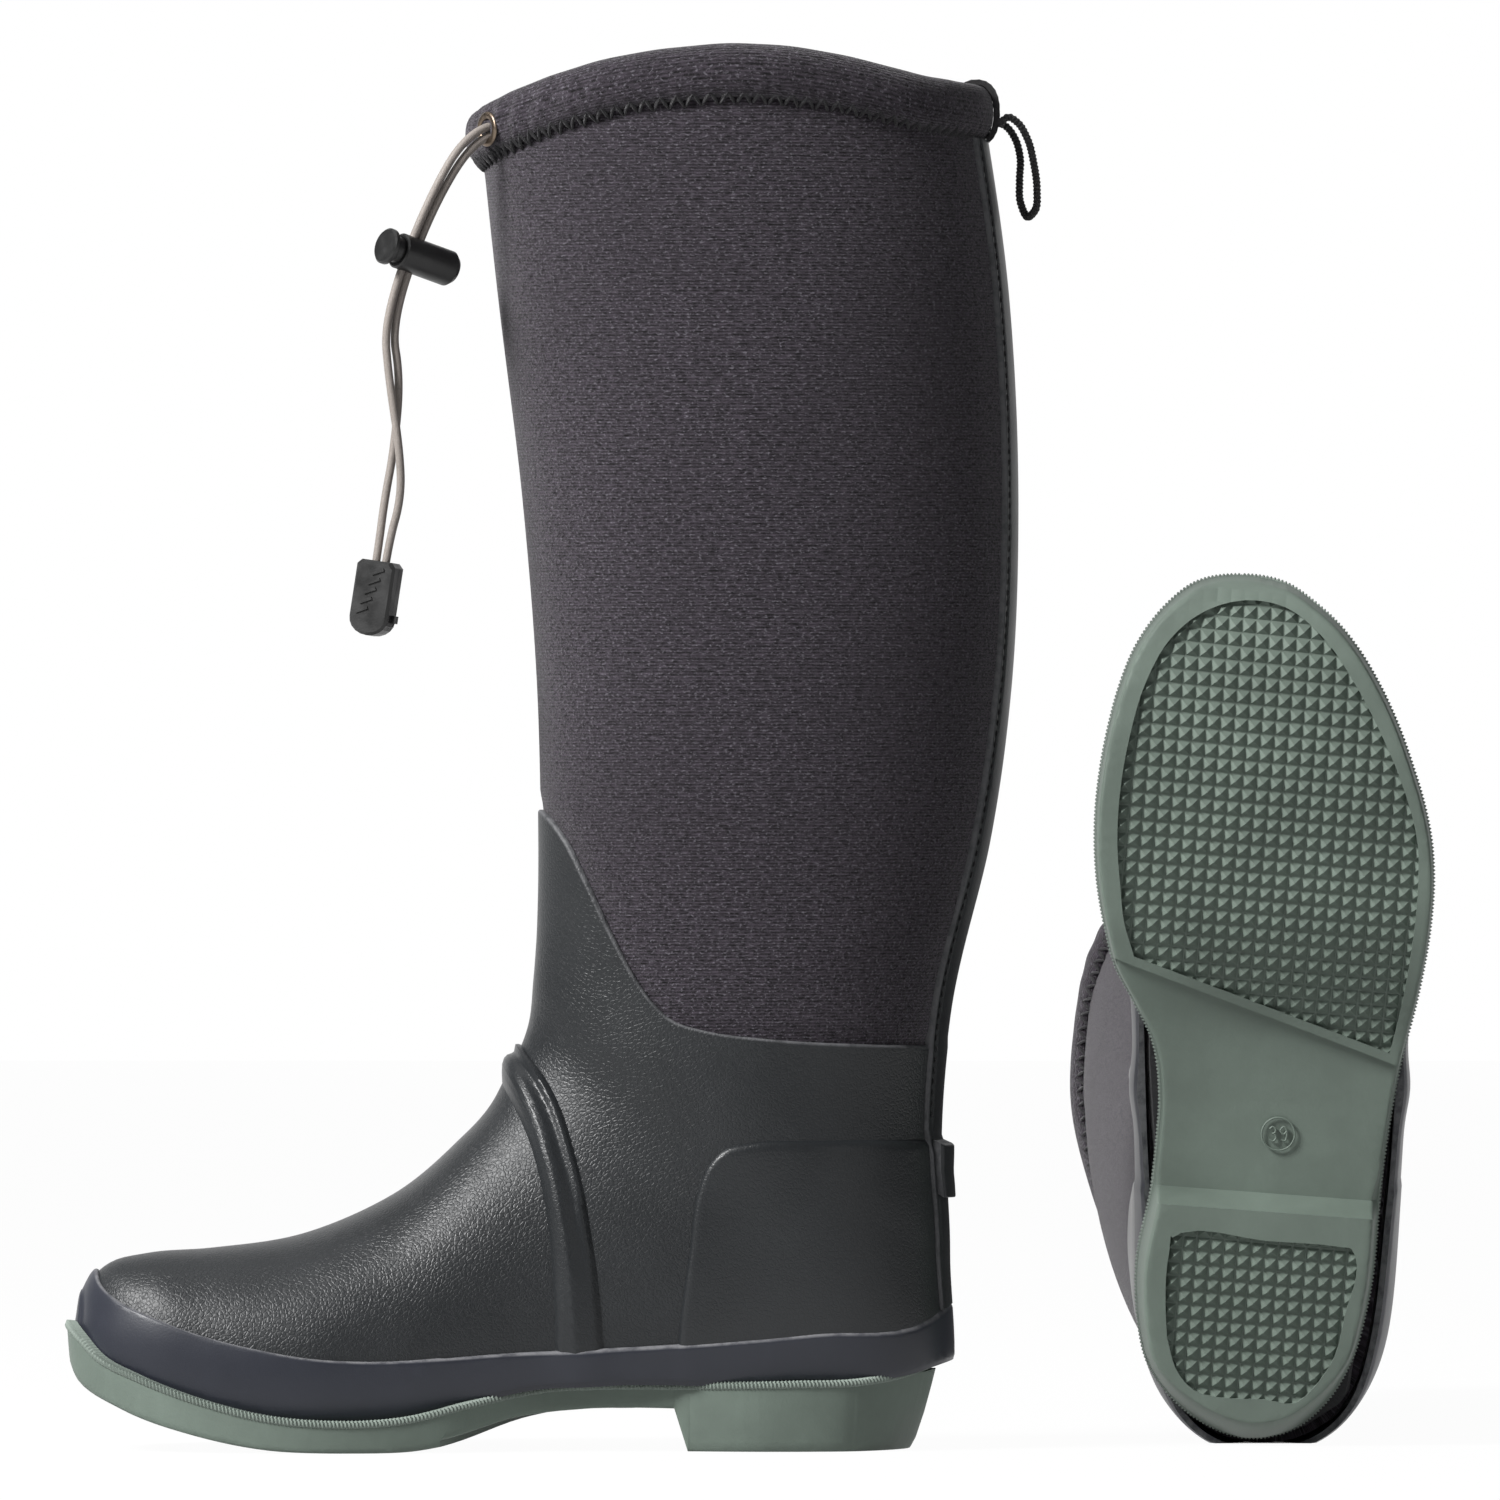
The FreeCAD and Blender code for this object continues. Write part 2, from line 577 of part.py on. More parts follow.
def make_boot():
    nodes = {}
    bodies = {}

    def body(layer):
        if layer not in bodies:
            bodies[layer] = boot_body(layer)
        return bodies[layer].copy()

    neoprene = -rubber_wall - layer_gap
    inner = neoprene - neoprene_wall
    above_sole = side_zone(sole_top, sky, seat_gap)
    below_top = side_zone(rubber_top, -20)
    nodes["outsole"] = make_outsole()

    shell = body(0).cut(body(-rubber_wall)).common(above_sole).common(below_top)
    middle = [((a[0] + b[0]) / 2, (a[1] + b[1]) / 2) for a, b in zip(band_front, band_back)]
    for name, shift, pick in (("vamp", -layer_gap / 2, -1), ("rubber_leg", layer_gap / 2, 1)):
        points = [Vector(x + shift, -90, z) for x, z in (at(*p) for p in middle)]
        points = [Vector(points[0].x - 12, -90, points[0].z + 16)] + points + [Vector(points[-1].x, -90, -30)]
        far = pick * 320
        corners = points + [Vector(points[-1].x + far, -90, -30), Vector(points[0].x + far, -90, sky + 10)]
        if pick > 0:
            corners.append(Vector(points[0].x, -90, sky + 10))
        else:
            corners[-1] = Vector(points[0].x + far, -90, points[0].z)
        zone = Part.Face(Part.makePolygon(corners + [corners[0]])).extrude(Vector(0, 180, 0))
        nodes[name] = largest(shell.common(zone))

    nodes["foxing"] = largest(body(foxing_thickness + seat_gap).cut(body(seat_gap))
                              .common(above_sole).common(side_zone(foxing_top, -20)))
    above_foxing = side_zone(foxing_top, sky, seat_gap)
    nodes["instep_band"] = largest(make_band().cut(body(seat_gap / 2)).common(above_foxing))
    points = [Vector(x, -90, z) for x, z in (at(*p) for p in counter_line)]
    corners = points + [Vector(points[-1].x, -90, 10)]
    counter_zone = Part.Face(Part.makePolygon(corners + [corners[0]])).extrude(Vector(0, 180, 0))
    outer_counter = seat_gap + counter_thickness
    nodes["heel_counter"] = largest(body(outer_counter).cut(body(seat_gap))
                                    .common(counter_zone).common(above_foxing))
    step = spur_top * height_ratio - seat_gap
    w = stay_half_width
    stay_low = body(outer_counter + seat_gap + stay_thickness).cut(body(outer_counter + seat_gap))
    stay_low = stay_low.common(box(-40, 40, -w, w, 30, step)).common(above_foxing)
    stay_step = body(outer_counter + seat_gap + stay_thickness).cut(body(seat_gap))
    stay_step = stay_step.common(box(-40, 40, -w, w, step, step + stay_thickness))
    high_column = box(-40, 40, -w, w, step, sky)
    stay_high = body(seat_gap + stay_thickness).cut(body(neoprene + seat_gap)).common(high_column)
    stay_high = stay_high.cut(body(seat_gap).common(side_zone(rubber_top, -20, seat_gap)))
    stay_high = stay_high.common(seam_zone(-0.0 + seat_gap))
    nodes["back_stay"] = largest(stay_low.fuse(stay_step).fuse(stay_high))
    stay_outer = outer_counter + seat_gap + stay_thickness
    spur = body(stay_outer + seat_gap + spur_thickness).cut(body(stay_outer + seat_gap))
    nodes["spur_rest"] = largest(spur.common(box(-40, 40, -spur_half_width, spur_half_width,
                                                  spur_bottom * height_ratio, spur_top * height_ratio)))

    board_top = board_thickness + seat_gap
    nodes["insole_board"] = largest(body(neoprene).common(above_sole).common(side_zone(sole_top, -20, board_top)))
    sock_zone = side_zone(sole_top, sky, board_top + seat_gap).common(seam_zone(collar_seat))
    nodes["neoprene_sock"] = largest(body(neoprene).cut(body(inner)).common(sock_zone))
    insole_low = board_top + seat_gap
    nodes["insole"] = largest(body(inner - seat_gap).common(side_zone(sole_top, sky, insole_low))
                              .common(side_zone(sole_top, -20, insole_low + insole_thickness)))
    shank_room = box(shank_front, shank_back, -shank_width / 2, shank_width / 2, 0, 60)
    nodes["shank"] = largest(side_zone(sole_top, -20, -0.1).common(side_zone(sole_top, 60, -0.1 - shank_thickness))
                             .common(shank_room))
    pocket = box(shank_front - seat_gap, shank_back + seat_gap, -shank_width / 2 - seat_gap,
                 shank_width / 2 + seat_gap, 0, 60).common(side_zone(sole_top, 60, -0.1 - shank_thickness - seat_gap))
    nodes["outsole"] = largest(nodes["outsole"].cut(pocket))

    collar = collar_solid(collar_half_thickness, collar_depth / 2 - 0.0, 10)
    tunnel = collar_solid(tunnel_radius, tunnel_radius, 6, 2.0)
    eyelet_turn = math.radians(-eyelet_side_angle)
    centre, out, up = collar_axis(eyelet_turn)
    centre = centre - up * eyelet_drop
    lay = frame_at(centre, out, up)
    wall = collar_half_thickness
    hole = placed(Part.makeCylinder(eyelet_bore / 2 + 1.0, 12, Vector(0, 0, 0), Vector(0, 0, 1)), lay)
    collar = largest(collar.cut(tunnel).cut(hole))
    seat = wall + 0.1
    rivet = revolved([(eyelet_bore / 2, 1.4), (eyelet_bore / 2 + 0.7, 1.4), (eyelet_bore / 2 + 0.7, seat),
                      (eyelet_outer / 2, seat), (eyelet_outer / 2, seat + 0.35),
                      (eyelet_outer / 2 - 0.9, seat + eyelet_flange), (eyelet_bore / 2 + 0.6, seat + eyelet_flange),
                      (eyelet_bore / 2, seat + 0.5)])
    nodes["collar"] = collar
    nodes["eyelet"] = placed(rivet, lay)
    start = -eyelet_side_angle
    cord_rings = []
    count = 26
    for k in range(count + 1):
        turn = math.radians(start + 7 + (360 - 14) * k / count)
        cord_rings.append(collar_ring(turn, cord_diameter / 2, cord_diameter / 2, 6, 2.0))
    nodes["tunnel_cord"] = tube_solid(cord_rings)

    tab_centre, tab_out, tab_up = collar_axis(math.pi)
    tab = collar_ring(math.pi, collar_half_thickness + seat_gap + 0.4 + tab_thickness,
                      collar_depth / 2 + seat_gap + tab_thickness, 14)
    flat = [Vector(p.x, 0, p.z) for p in tab]
    slab = Part.Face(Part.makePolygon(flat + [flat[0]])).extrude(Vector(0, tab_width, 0))
    slab.translate(Vector(0, -tab_width / 2, 0))
    room = collar_solid(collar_half_thickness + seat_gap, collar_depth / 2 + seat_gap, 10)
    slab = slab.cut(room).common(box(-40, 60, -20, 20, tab_centre.z - 4.5, sky))
    nodes["pull_tab"] = largest(slab)
    return nodes, (centre, out)


def cord_group(lock_centre, lock_axis, cord_way, strands, clip_centre, clip_up, clip_side):
    """The two cord ends, the lock on them and the clip that holds them."""
    parts = {}
    barrel, plunger, spring = make_lock()
    lay = frame_at(lock_centre, lock_axis, cord_way.cross(lock_axis))
    parts["lock_barrel"] = placed(barrel, lay)
    parts["lock_plunger"] = placed(plunger, lay)
    parts["lock_spring"] = placed(spring, lay)
    for name, route in zip(("strand_a", "strand_b"), strands):
        parts[name] = cord_solid(route, cord_diameter)
    front, back = make_clip()
    lay = frame_at(clip_centre, clip_up, clip_side)
    parts["clip_front"] = placed(front, lay)
    parts["clip_back"] = placed(back, lay)
    return parts


def braid_loop(route):
    """A flat braid swept along a route of points, as a closed loop between its two roots."""
    pts = [Vector(*p) for p in route]
    rings = []
    for i, p in enumerate(pts):
        ahead = (pts[min(i + 1, len(pts) - 1)] - pts[max(i - 1, 0)]).normalize()
        flat = Vector(0, 1, 0)
        flat = (flat - ahead * flat.dot(ahead)).normalize()
        out = ahead.cross(flat)
        ring = []
        for a, b in ((1, 0.35), (0.6, 1), (-0.6, 1), (-1, 0.35), (-1, -0.35), (-0.6, -1), (0.6, -1), (1, -0.35)):
            ring.append(p + flat * (a * braid_width / 2) + out * (b * braid_thickness / 2))
        rings.append(ring)
    # The two ends are sewn round a short roll, about which the loop swings
    roll = Part.makeCylinder(braid_thickness / 2, tab_width, pts[0] * 0.5 + pts[-1] * 0.5 - Vector(0, tab_width / 2, 0),
                             Vector(0, 1, 0))
    return largest(tube_solid(rings).fuse(roll))


def right_cords(eye, out):
    """Routes of the standing boot's cord ends, which hang in front of the shaft."""
    up = Vector(0, 0, 1)
    lock = Vector(-168.8, -30, 373.7 * height_ratio)
    way = Vector(-0.33, 0, -0.944).normalize()
    axis = Vector(0.77, 0.57, -0.27)
    axis = (axis - way * axis.dot(way)).normalize()
    clip_up = Vector(0.15, 0, 0.989).normalize()
    clip_side = Vector(0.93, -0.36, 0)
    clip_side = (clip_side - clip_up * clip_side.dot(clip_up)).normalize()
    clip = Vector(-179.8, -30.5, 266.3 * height_ratio)
    mouth = clip + clip_up * (clip_length / 2)
    half = (cord_diameter + strand_gap) / 2
    strands = []
    for sign, reach, waves in ((-1, 11.6, [(-175.6, -31.6, 335), (-172.2, -33.2, 313), (-171.6, -32.6, 298)]),
                               (1, 9.3, [(-172.0, -29.4, 335), (-174.0, -28.6, 313), (-177.0, -29.2, 297)])):
        side = axis * (sign * half)
        # The strand that lies nearer the cap above the lock crosses over on its way to the clip
        well = clip_side * (-sign * clip_well)
        route = [eye + out * 0.3 - up * (sign * half), eye + out * reach - up * (sign * half),
                 lock - way * 14 + side, lock + way * (lock_slide + 16) + side]
        route += [Vector(x, y, z * height_ratio) for x, y, z in waves]
        route += [mouth + clip_up * 6 + well, mouth - clip_up * (clip_well_depth - 0.6) + well]
        strands.append(route)
    return lock, axis, way, strands, clip, clip_up, clip_side


def left_cords(eye, out):
    """Routes of the lying boot's cord ends, which rest along the top of its shaft."""
    up = Vector(0, 0, 1)

    def crest(z):
        front = [(a[0][0], a[0][1] * height_ratio) for a in sections[::-1]][:6]
        return line_x(front, z) + rubber_wall + layer_gap
    # Heights along the front of the shaft: the lock, where the strands rest, and the clip
    lock_z, crest_rest, crest_bend, clip_z = (z * height_ratio for z in (352, 306, 284, 246))
    lock = Vector(crest(lock_z) - lock_lift - lock_outer / 2, 3.5, lock_z)
    way = Vector(crest(lock_z - 16) - crest(lock_z + 4), 0, -20).normalize()
    axis = Vector(0, -1, 0)
    clip = Vector(crest(clip_z) - clip_depth / 2 - seat_gap - 0.2, 3.5, clip_z)
    clip_up = Vector(crest(clip_z + 12) - crest(clip_z - 8), 0, 20).normalize()
    clip_side = Vector(0, -1, 0)
    mouth = clip + clip_up * (clip_length / 2)
    half = (cord_diameter + strand_gap) / 2
    lift = cord_diameter / 2 + 0.5
    strands = []
    across = up.cross(out)
    # The strands run down and sideways to the lock, so they part at right angles to that way
    slant = Vector(0, 0.72, -0.69)
    for sign, ys in ((-1, (10.0, 8.5)), (1, (-3.0, -2.0))):
        side = axis * (sign * half)
        well = clip_side * (sign * clip_well)
        bow = (out * 0.5 - up * 0.87) * 13
        apart = across * (sign * half)
        route = [eye + out * 0.3 + apart, eye + out * 11 + apart, eye + out * 11 + apart + bow,
                 Vector(-156, 20, 383 * height_ratio) + slant * (-sign * half * 1.4),
                 lock - way * 14 + side, lock + way * (lock_slide + 16) + side]
        route += [Vector(crest(z) - lift, y, z) for z, y in zip((crest_rest, crest_bend), ys)]
        route += [mouth + clip_up * 7 + well, mouth - clip_up * (clip_well_depth - 0.6) + well]
        strands.append(route)
    return lock, axis, way, strands, clip, clip_up, clip_side


def lying_angle(shapes):
    """The tilt at which the heel and the back of the shaft both touch the floor."""
    corners = [p for s in shapes for p in s.copy().tessellate(0.3)[0]]
    low, high = 0.0, 0.3
    for _ in range(40):
        tilt = (low + high) / 2
        heights = [(-p.x * math.cos(tilt) + p.z * math.sin(tilt), p.z) for p in corners]
        heel = min(h for h, z in heights if z < 150)
        shaft = min(h for h, z in heights if z > 150)
        if heel < shaft:
            high = tilt
        else:
            low = tilt
    return tilt, min(heel, shaft)


def main():
    boot, (eye, out) = make_boot()
    right = dict(boot)
    right.update(cord_group(*right_cords(eye, out)))
    tab = boot["pull_tab"].BoundBox
    root = tab.XMax + braid_thickness / 2 + seat_gap
    top = collar_axis(math.pi)[0].z - loop_root_drop
    right["pull_loop"] = braid_loop([
        (root, -2.4, top), (root + 2.4, -2.6, top + 1.6), (root + 5.2, -2.8, top),
        (root + 8.3, -2.9, top - 5), (root + 10.4, -2.9, top - 13), (root + 11.4, -2.6, top - 21.5),
        (root + 10.8, -1.2, top - 27.6), (root + 8.6, 0.6, top - 29.6), (root + 6.4, 2.2, top - 25.5),
        (root + 6.0, 2.8, top - 18), (root + 6.2, 2.9, top - 11), (root + 4.6, 2.8, top - 5),
        (root + 2.2, 2.6, top - 1.5), (root, 2.4, top)])

    left = {name: mirrored(shape) for name, shape in boot.items()}
    left_eye, left_out = Vector(eye.x, -eye.y, eye.z), Vector(out.x, -out.y, out.z)
    left.update(cord_group(*left_cords(left_eye, left_out)))
    tilt, lowest = lying_angle([left[n] for n in ("foxing", "spur_rest", "back_stay", "outsole")])
    print("lying tilt", math.degrees(tilt), "lowest", lowest)

    def floor_x(z):
        return (z * math.sin(tilt) - lowest) / math.cos(tilt) - braid_thickness / 2 - 0.4
    left["pull_loop"] = braid_loop([
        (root, -2.4, top), (root + 2.8, -2.6, top + 2), (root + 6.6, -2.8, top + 8),
        (root + 11, -3.0, top + 17), (floor_x(top + 28), -3.2, top + 28), (floor_x(top + 38), -2.6, top + 38),
        (floor_x(top + 43), -0.6, top + 42.5), (floor_x(top + 43), 1.6, top + 42),
        (floor_x(top + 37), 3.2, top + 36.5), (floor_x(top + 27.5), 3.4, top + 27), (root + 10.4, 3.1, top + 16),
        (root + 5.8, 2.8, top + 7), (root + 2.2, 2.6, top + 2.4), (root, 2.4, top)])

    # Boot X points down, boot Z points away from the viewer and rises with the tilt
    c, s = math.cos(tilt), math.sin(tilt)
    lying = FreeCAD.Matrix(0, -1, 0, pair_spacing, s, 0, c, lying_depth, -c, 0, s, -lowest, 0, 0, 0, 1)
    standing = FreeCAD.Matrix(1, 0, 0, standing_x, 0, 1, 0, 0, 0, 0, 1, 0, 0, 0, 0, 1)
    nodes = {}
    for side, parts, matrix in (("right", right, standing), ("left", left, lying)):
        for name, shape in parts.items():
            nodes[side + "_" + name] = placed(shape, matrix)
    solid_box = FreeCAD.BoundBox()
    for name, shape in nodes.items():
        if "strand" not in name:
            solid_box.add(shape.optimalBoundingBox(False))
    shift = Vector(-solid_box.Center.x, -solid_box.Center.y, -solid_box.ZMin)
    print("box", solid_box, "shift", shift)
    os.makedirs("parts", exist_ok=True)
    for side, matrix, cords in (("right", standing, right_cords(eye, out)), ("left", lying, left_cords(left_eye, left_out))):
        base = matrix.multVec(Vector(0, 0, 0))
        lock, axis, way = cords[:3]
        for label, where, direction in (("lock", lock, way), ("plunger", lock, axis),
                                        ("loop", Vector(root, 0, top), Vector(0, 1, 0))):
            print("joint", side, label, matrix.multVec(where) + shift, matrix.multVec(direction) - base)
    for name, shape in nodes.items():
        shape.translate(shift)
        bb = shape.optimalBoundingBox(False)
        print(name, shape.isValid(), len(shape.Solids), round(shape.Volume, 1), len(shape.Faces),
              [round(v, 1) for v in (bb.XMin, bb.YMin, bb.ZMin, bb.XMax, bb.YMax, bb.ZMax)])
        shape.exportStep("parts/" + name + ".step")


main()
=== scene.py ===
import math
import bpy
import numpy as np
from bpy.props import FloatProperty, FloatVectorProperty, IntProperty, PointerProperty
from mathutils import Matrix, Vector


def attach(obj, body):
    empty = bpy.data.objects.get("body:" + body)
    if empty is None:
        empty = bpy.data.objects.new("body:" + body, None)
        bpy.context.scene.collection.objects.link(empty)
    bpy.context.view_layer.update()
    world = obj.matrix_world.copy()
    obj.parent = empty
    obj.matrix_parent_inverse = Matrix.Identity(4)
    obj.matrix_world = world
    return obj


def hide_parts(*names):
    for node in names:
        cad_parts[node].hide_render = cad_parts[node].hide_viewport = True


bl_info = {
    "name": "Riding wellingtons",
    "version": (1, 0, 0),
    "blender": (4, 5, 0),
    "location": "View3D > Sidebar > Boots",
    "description": "Dresses the CAD frame of a pair of riding wellingtons, piece by piece",
    "category": "Add Mesh",
}

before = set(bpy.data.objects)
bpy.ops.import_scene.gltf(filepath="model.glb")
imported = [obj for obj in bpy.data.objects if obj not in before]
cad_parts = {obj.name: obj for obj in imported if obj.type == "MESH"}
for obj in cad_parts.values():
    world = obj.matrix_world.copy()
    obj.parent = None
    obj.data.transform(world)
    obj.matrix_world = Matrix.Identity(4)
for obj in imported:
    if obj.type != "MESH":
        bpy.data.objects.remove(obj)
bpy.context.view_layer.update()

# Boot shapes are worked out in millimetres in one boot's own frame: the heel's back edge near
# x = 0, the toe towards -X, the big toe's side towards -Y, the ground at z = 0.
MM = 0.001
HALF_TURN = math.pi
TILT = math.radians(6.065699)
STANDING = (62.51166, -208.20199, 0.0)
LYING = (161.41166, -200.20199, -5.34189)
COLLAR_DEPTH = 17.0
COLLAR_HALF = 5.2
COLLAR_CENTRE = -1.6
CORD = 2.6
EYELET_TURN = math.radians(-24)
CLIP_WELL = 1.6
CLIP_LENGTH = 23.5
LOCK_SLIDE = 6.0
LOCK_LIFT = 2.6
STRAND_GAP = 0.18
LOCK_OUTER = 11.3
CLIP_DEPTH = 8.0
LOOP_ROOT_Z = 416.0
LOOP_ROOT_X = 15.866
BAND_HEIGHT = 3.7
# The leg's middle, the radius that turns are unrolled at, and the rows that the collar lies between
LEG_AXIS_X = -73
LEG_RADIUS = 46
COLLAR_ROW = 16

# Side-view lines from toe to heel, or from top to bottom, as (x, z)
SOLE_TOP = [(-290, 52), (-273.2, 36.4), (-266.9, 30.1), (-254.7, 24.2), (-233.6, 16.6), (-212.9, 11.6),
            (-194, 10), (-171, 11), (-150.4, 15.7), (-126.5, 20.4), (-105.5, 21.4), (-84.5, 21.4),
            (-49.6, 22), (-28.3, 22.6), (-14.4, 24.8), (-4.7, 27.9), (12, 33)]
FOXING_TOP = [(-284, 76), (-267.5, 57.5), (-266, 52.1), (-260.6, 47.1), (-249.3, 41.8), (-233.6, 36.1),
              (-217.9, 32.3), (-199.4, 29.2), (-181.5, 28.3), (-160.8, 29.2), (-140, 30.8),
              (-122.5, 31.7), (-86, 33.6), (-42.4, 37.4), (-7.5, 42.1), (-1.9, 46.5), (14, 54)]
RUBBER_TOP = [(-160, 204), (-128.4, 199.7), (-121.5, 191.5), (-115.2, 179.6), (-107, 162.7),
              (-98.6, 147.3), (-93.6, 140.4), (-87.3, 134.7), (-77.6, 131.6), (-56.5, 128.7),
              (-28.3, 126.9), (-3.8, 126.2), (30, 126)]
BAND_FRONT = [(-145, 122), (-140.4, 112.7), (-137.2, 107), (-133.1, 98.3), (-129.1, 85.4),
              (-126.2, 69.7), (-124.7, 52.8), (-124, 32.3), (-124, 20)]
BAND_BACK = [(-139, 133), (-132.5, 124.3), (-126.2, 116.2), (-121.5, 107), (-118.1, 96.4),
             (-114.6, 83.2), (-112.1, 69.7), (-109.3, 54), (-107.4, 33.6), (-107, 20)]
COUNTER = [(-85.1, 12), (-85.1, 32.3), (-81.6, 61.9), (-78.8, 81.3), (-76, 88.5), (-70.6, 94.2),
           (-63.4, 96.1), (-42.4, 96.9), (20, 96.4)]
RIM = [(-152, 417.3), (-145.5, 420.8), (-132.5, 426.4), (-121.2, 430.2), (-107.4, 434),
       (-83.2, 437.8), (-62.8, 439.1), (-43, 437.8), (-22.6, 434), (-7.5, 430.2), (14, 427.2)]
SOLE_OUTLINE = [(-276.9, -6.6), (-274.6, 6.9), (-268.5, 16.6), (-262.4, 23.5), (-256.2, 28.6),
                (-244, 36.1), (-231.7, 41.8), (-219.4, 46.2), (-207.1, 49.9), (-194.9, 52.2),
                (-184.5, 52.8), (-168.1, 51.8), (-145.2, 48), (-124.4, 43), (-111.1, 40.5),
                (-92.3, 37.7), (-46.8, 32.7), (-29.7, 27.9), (-16.4, 20.1), (-7.9, 10.7),
                (-4.5, -4.7), (-10.6, -20.1), (-19.2, -29.8), (-29.7, -36.4), (-43, -39.3),
                (-60, -39.9), (-86.3, -35), (-99.6, -33.6), (-114.7, -32.7), (-131.9, -35),
                (-145.2, -41.3), (-156.5, -47), (-168.1, -50), (-183.3, -52.6), (-207.1, -53),
                (-219.4, -51.5), (-231.7, -49), (-244, -45.5), (-256.2, -40.2), (-268.5, -30.5),
                (-274.6, -21.7)]
# Height of the sole's underside above the ground: the tread's rim, the arch and the heel
TREAD_GROUND = [(-290, 38), (-277.2, 29), (-273, 21.8), (-259.7, 13.6), (-235.8, 5.3), (-212.9, 0.9),
                (-192.2, 0), (-180, 0), (-168, 0.5), (-155.4, 2.7), (-134.7, 8.6), (-115, 11)]
ARCH_GROUND = [(-185, 1.6), (-166, 2.4), (-155.4, 4.9), (-134.7, 11.0), (-122.5, 12.6), (-60, 12.8)]
HEEL_GROUND = 0.0
# Edges of the two sunk treads, seen from below with the toe away, as (x, y)
TREAD_SIDE = [(-140, -36), (-160.8, -41.4), (-171, -44.4), (-183, -45.7), (-195.1, -46.6), (-213.8, -45.6),
              (-230.1, -42.6), (-245.2, -38), (-259.2, -29.9), (-266.6, -20.8), (-270.8, -6), (-268.6, 6.6),
              (-258.8, 18.8), (-245.6, 27.9), (-231.5, 35.4), (-213.4, 43), (-195.1, 47.6), (-183, 47.7),
              (-159, 45.3), (-147, 43.4), (-130.1, 39.6), (-112, 34)]
TREAD_REAR = [(-184, -100), (-160.3, -41.4), (-128.6, 39.4), (-104, 100)]
HEEL_TREAD = [(-40, -30.7), (-52, -31.2), (-66, -30.2), (-72.6, -28.2), (-73, -27), (-70.6, 0), (-68.6, 24),
              (-68, 27.3), (-66, 28.3), (-47, 25.2), (-33, 21.6), (-21.6, 13.2), (-19.4, 10.6), (-20.2, 0),
              (-21.4, -17), (-22.3, -20.6), (-29, -27.4)]
BREAST = [(-92.4, -100), (-86.8, -37), (-81.4, 36), (-76, 100)]
TREAD_PITCH = 4.31
TREAD_TURN = math.radians(5.5)
TREAD_DEPTH = 2.5
TREAD_CENTRE = (-151.5, 3.8)
# A pyramid's half width in squares, and the valleys on both sides of it
STUD_HALF = 0.445
VALLEYS = (0.055, 0.945)
BAR_WIDTH = 2.8
BREAST_RUN = 4.2
# Cross-sections from toe to collar: top point, bottom point, half width, side shift, where along
# bottom-to-top it is widest, roundness above and below, and how far a layer also moves it forward
SECTIONS = [
    (-271.2, 49, -271.2, 20, 7.5, -5, 0.45, 2.3, 2.3, 1.0),
    (-269, 53.5, -269, 16, 14, -4.9, 0.42, 2.3, 2.3, 0.9),
    (-263.5, 58.3, -263.5, 9, 22.3, -4.4, 0.42, 2.3, 2.4, 0.65),
    (-252, 61.2, -252, 3, 30.8, -3.6, 0.42, 2.3, 2.4, 0.35),
    (-232, 62.8, -232, -6, 39, -1.5, 0.42, 2.2, 2.5, 0.15),
    (-203, 67.3, -203, -10, 45.5, 1.3, 0.42, 2.1, 2.5, 0),
    (-175, 79.5, -175, -10, 45, 2.6, 0.40, 2.1, 2.5, 0),
    (-152, 98.8, -137.5, -6, 42, 2.4, 0.38, 2.1, 2.5, 0),
    (-139, 117.5, -66, -2, 40.5, 1.8, 0.39, 2.1, 2.4, 0),
    (-132.4, 133, -5, 12, 40, 0.6, 0.42, 2.1, 2.2, 0),
    (-130.9, 146.4, -2.2, 62.7, 39.5, 0, 0.44, 2.1, 2.1, 0),
    (-130.2, 155, -3.6, 98.8, 38.5, 0, 0.46, 2.1, 2.0, 0),
    (-129.7, 163.7, -0.6, 135.7, 38.5, 0, 0.48, 2.1, 2.0, 0),
    (-129.3, 190, 11.8, 190, 41, 0, 0.5, 2.1, 2.0, 0),
    (-130.3, 235, 18.2, 235, 44.5, 0, 0.5, 2.1, 2.0, 0),
    (-135.1, 298, 20.7, 298, 48, 0, 0.5, 2.1, 2.0, 0),
    (-142.6, 360, 17.9, 360, 50, 0, 0.5, 2.1, 2.0, 0),
    (-151.5, 445, 5.8, 445, 50, 0, 0.5, 2.1, 2.0, 0),
]
TOE_CAP = 2.2


class Through:
    """A smooth curve through rows of numbers, read at 0 for the first row, 1 for the second, and so on."""

    def __init__(self, rows, measured=None):
        self.rows = np.asarray(rows, float)
        steps = np.diff(self.rows[:, :measured], axis=0)
        self.span = np.maximum(np.linalg.norm(steps, axis=1), 1e-6)
        slope = np.diff(self.rows, axis=0) / self.span[:, None]
        before, after = self.span[:-1, None], self.span[1:, None]
        inner = (slope[1:] * before + slope[:-1] * after) / (before + after)
        self.tangent = np.vstack([slope[:1], inner, slope[-1:]])

    def __call__(self, position):
        position = np.clip(np.asarray(position, float), 0, len(self.rows) - 1)
        low = np.minimum(position.astype(int), len(self.rows) - 2)
        u = (position - low)[..., None]
        span = self.span[low][..., None]
        rise = 3 * u ** 2 - 2 * u ** 3
        return (self.rows[low] * (1 - rise) + self.rows[low + 1] * rise
                + span * self.tangent[low] * (u ** 3 - 2 * u ** 2 + u)
                + span * self.tangent[low + 1] * (u ** 3 - u ** 2))

    def dense(self, parts):
        return self(np.linspace(0, len(self.rows) - 1, (len(self.rows) - 1) * parts + 1))


BODY = Through(SECTIONS, 4)


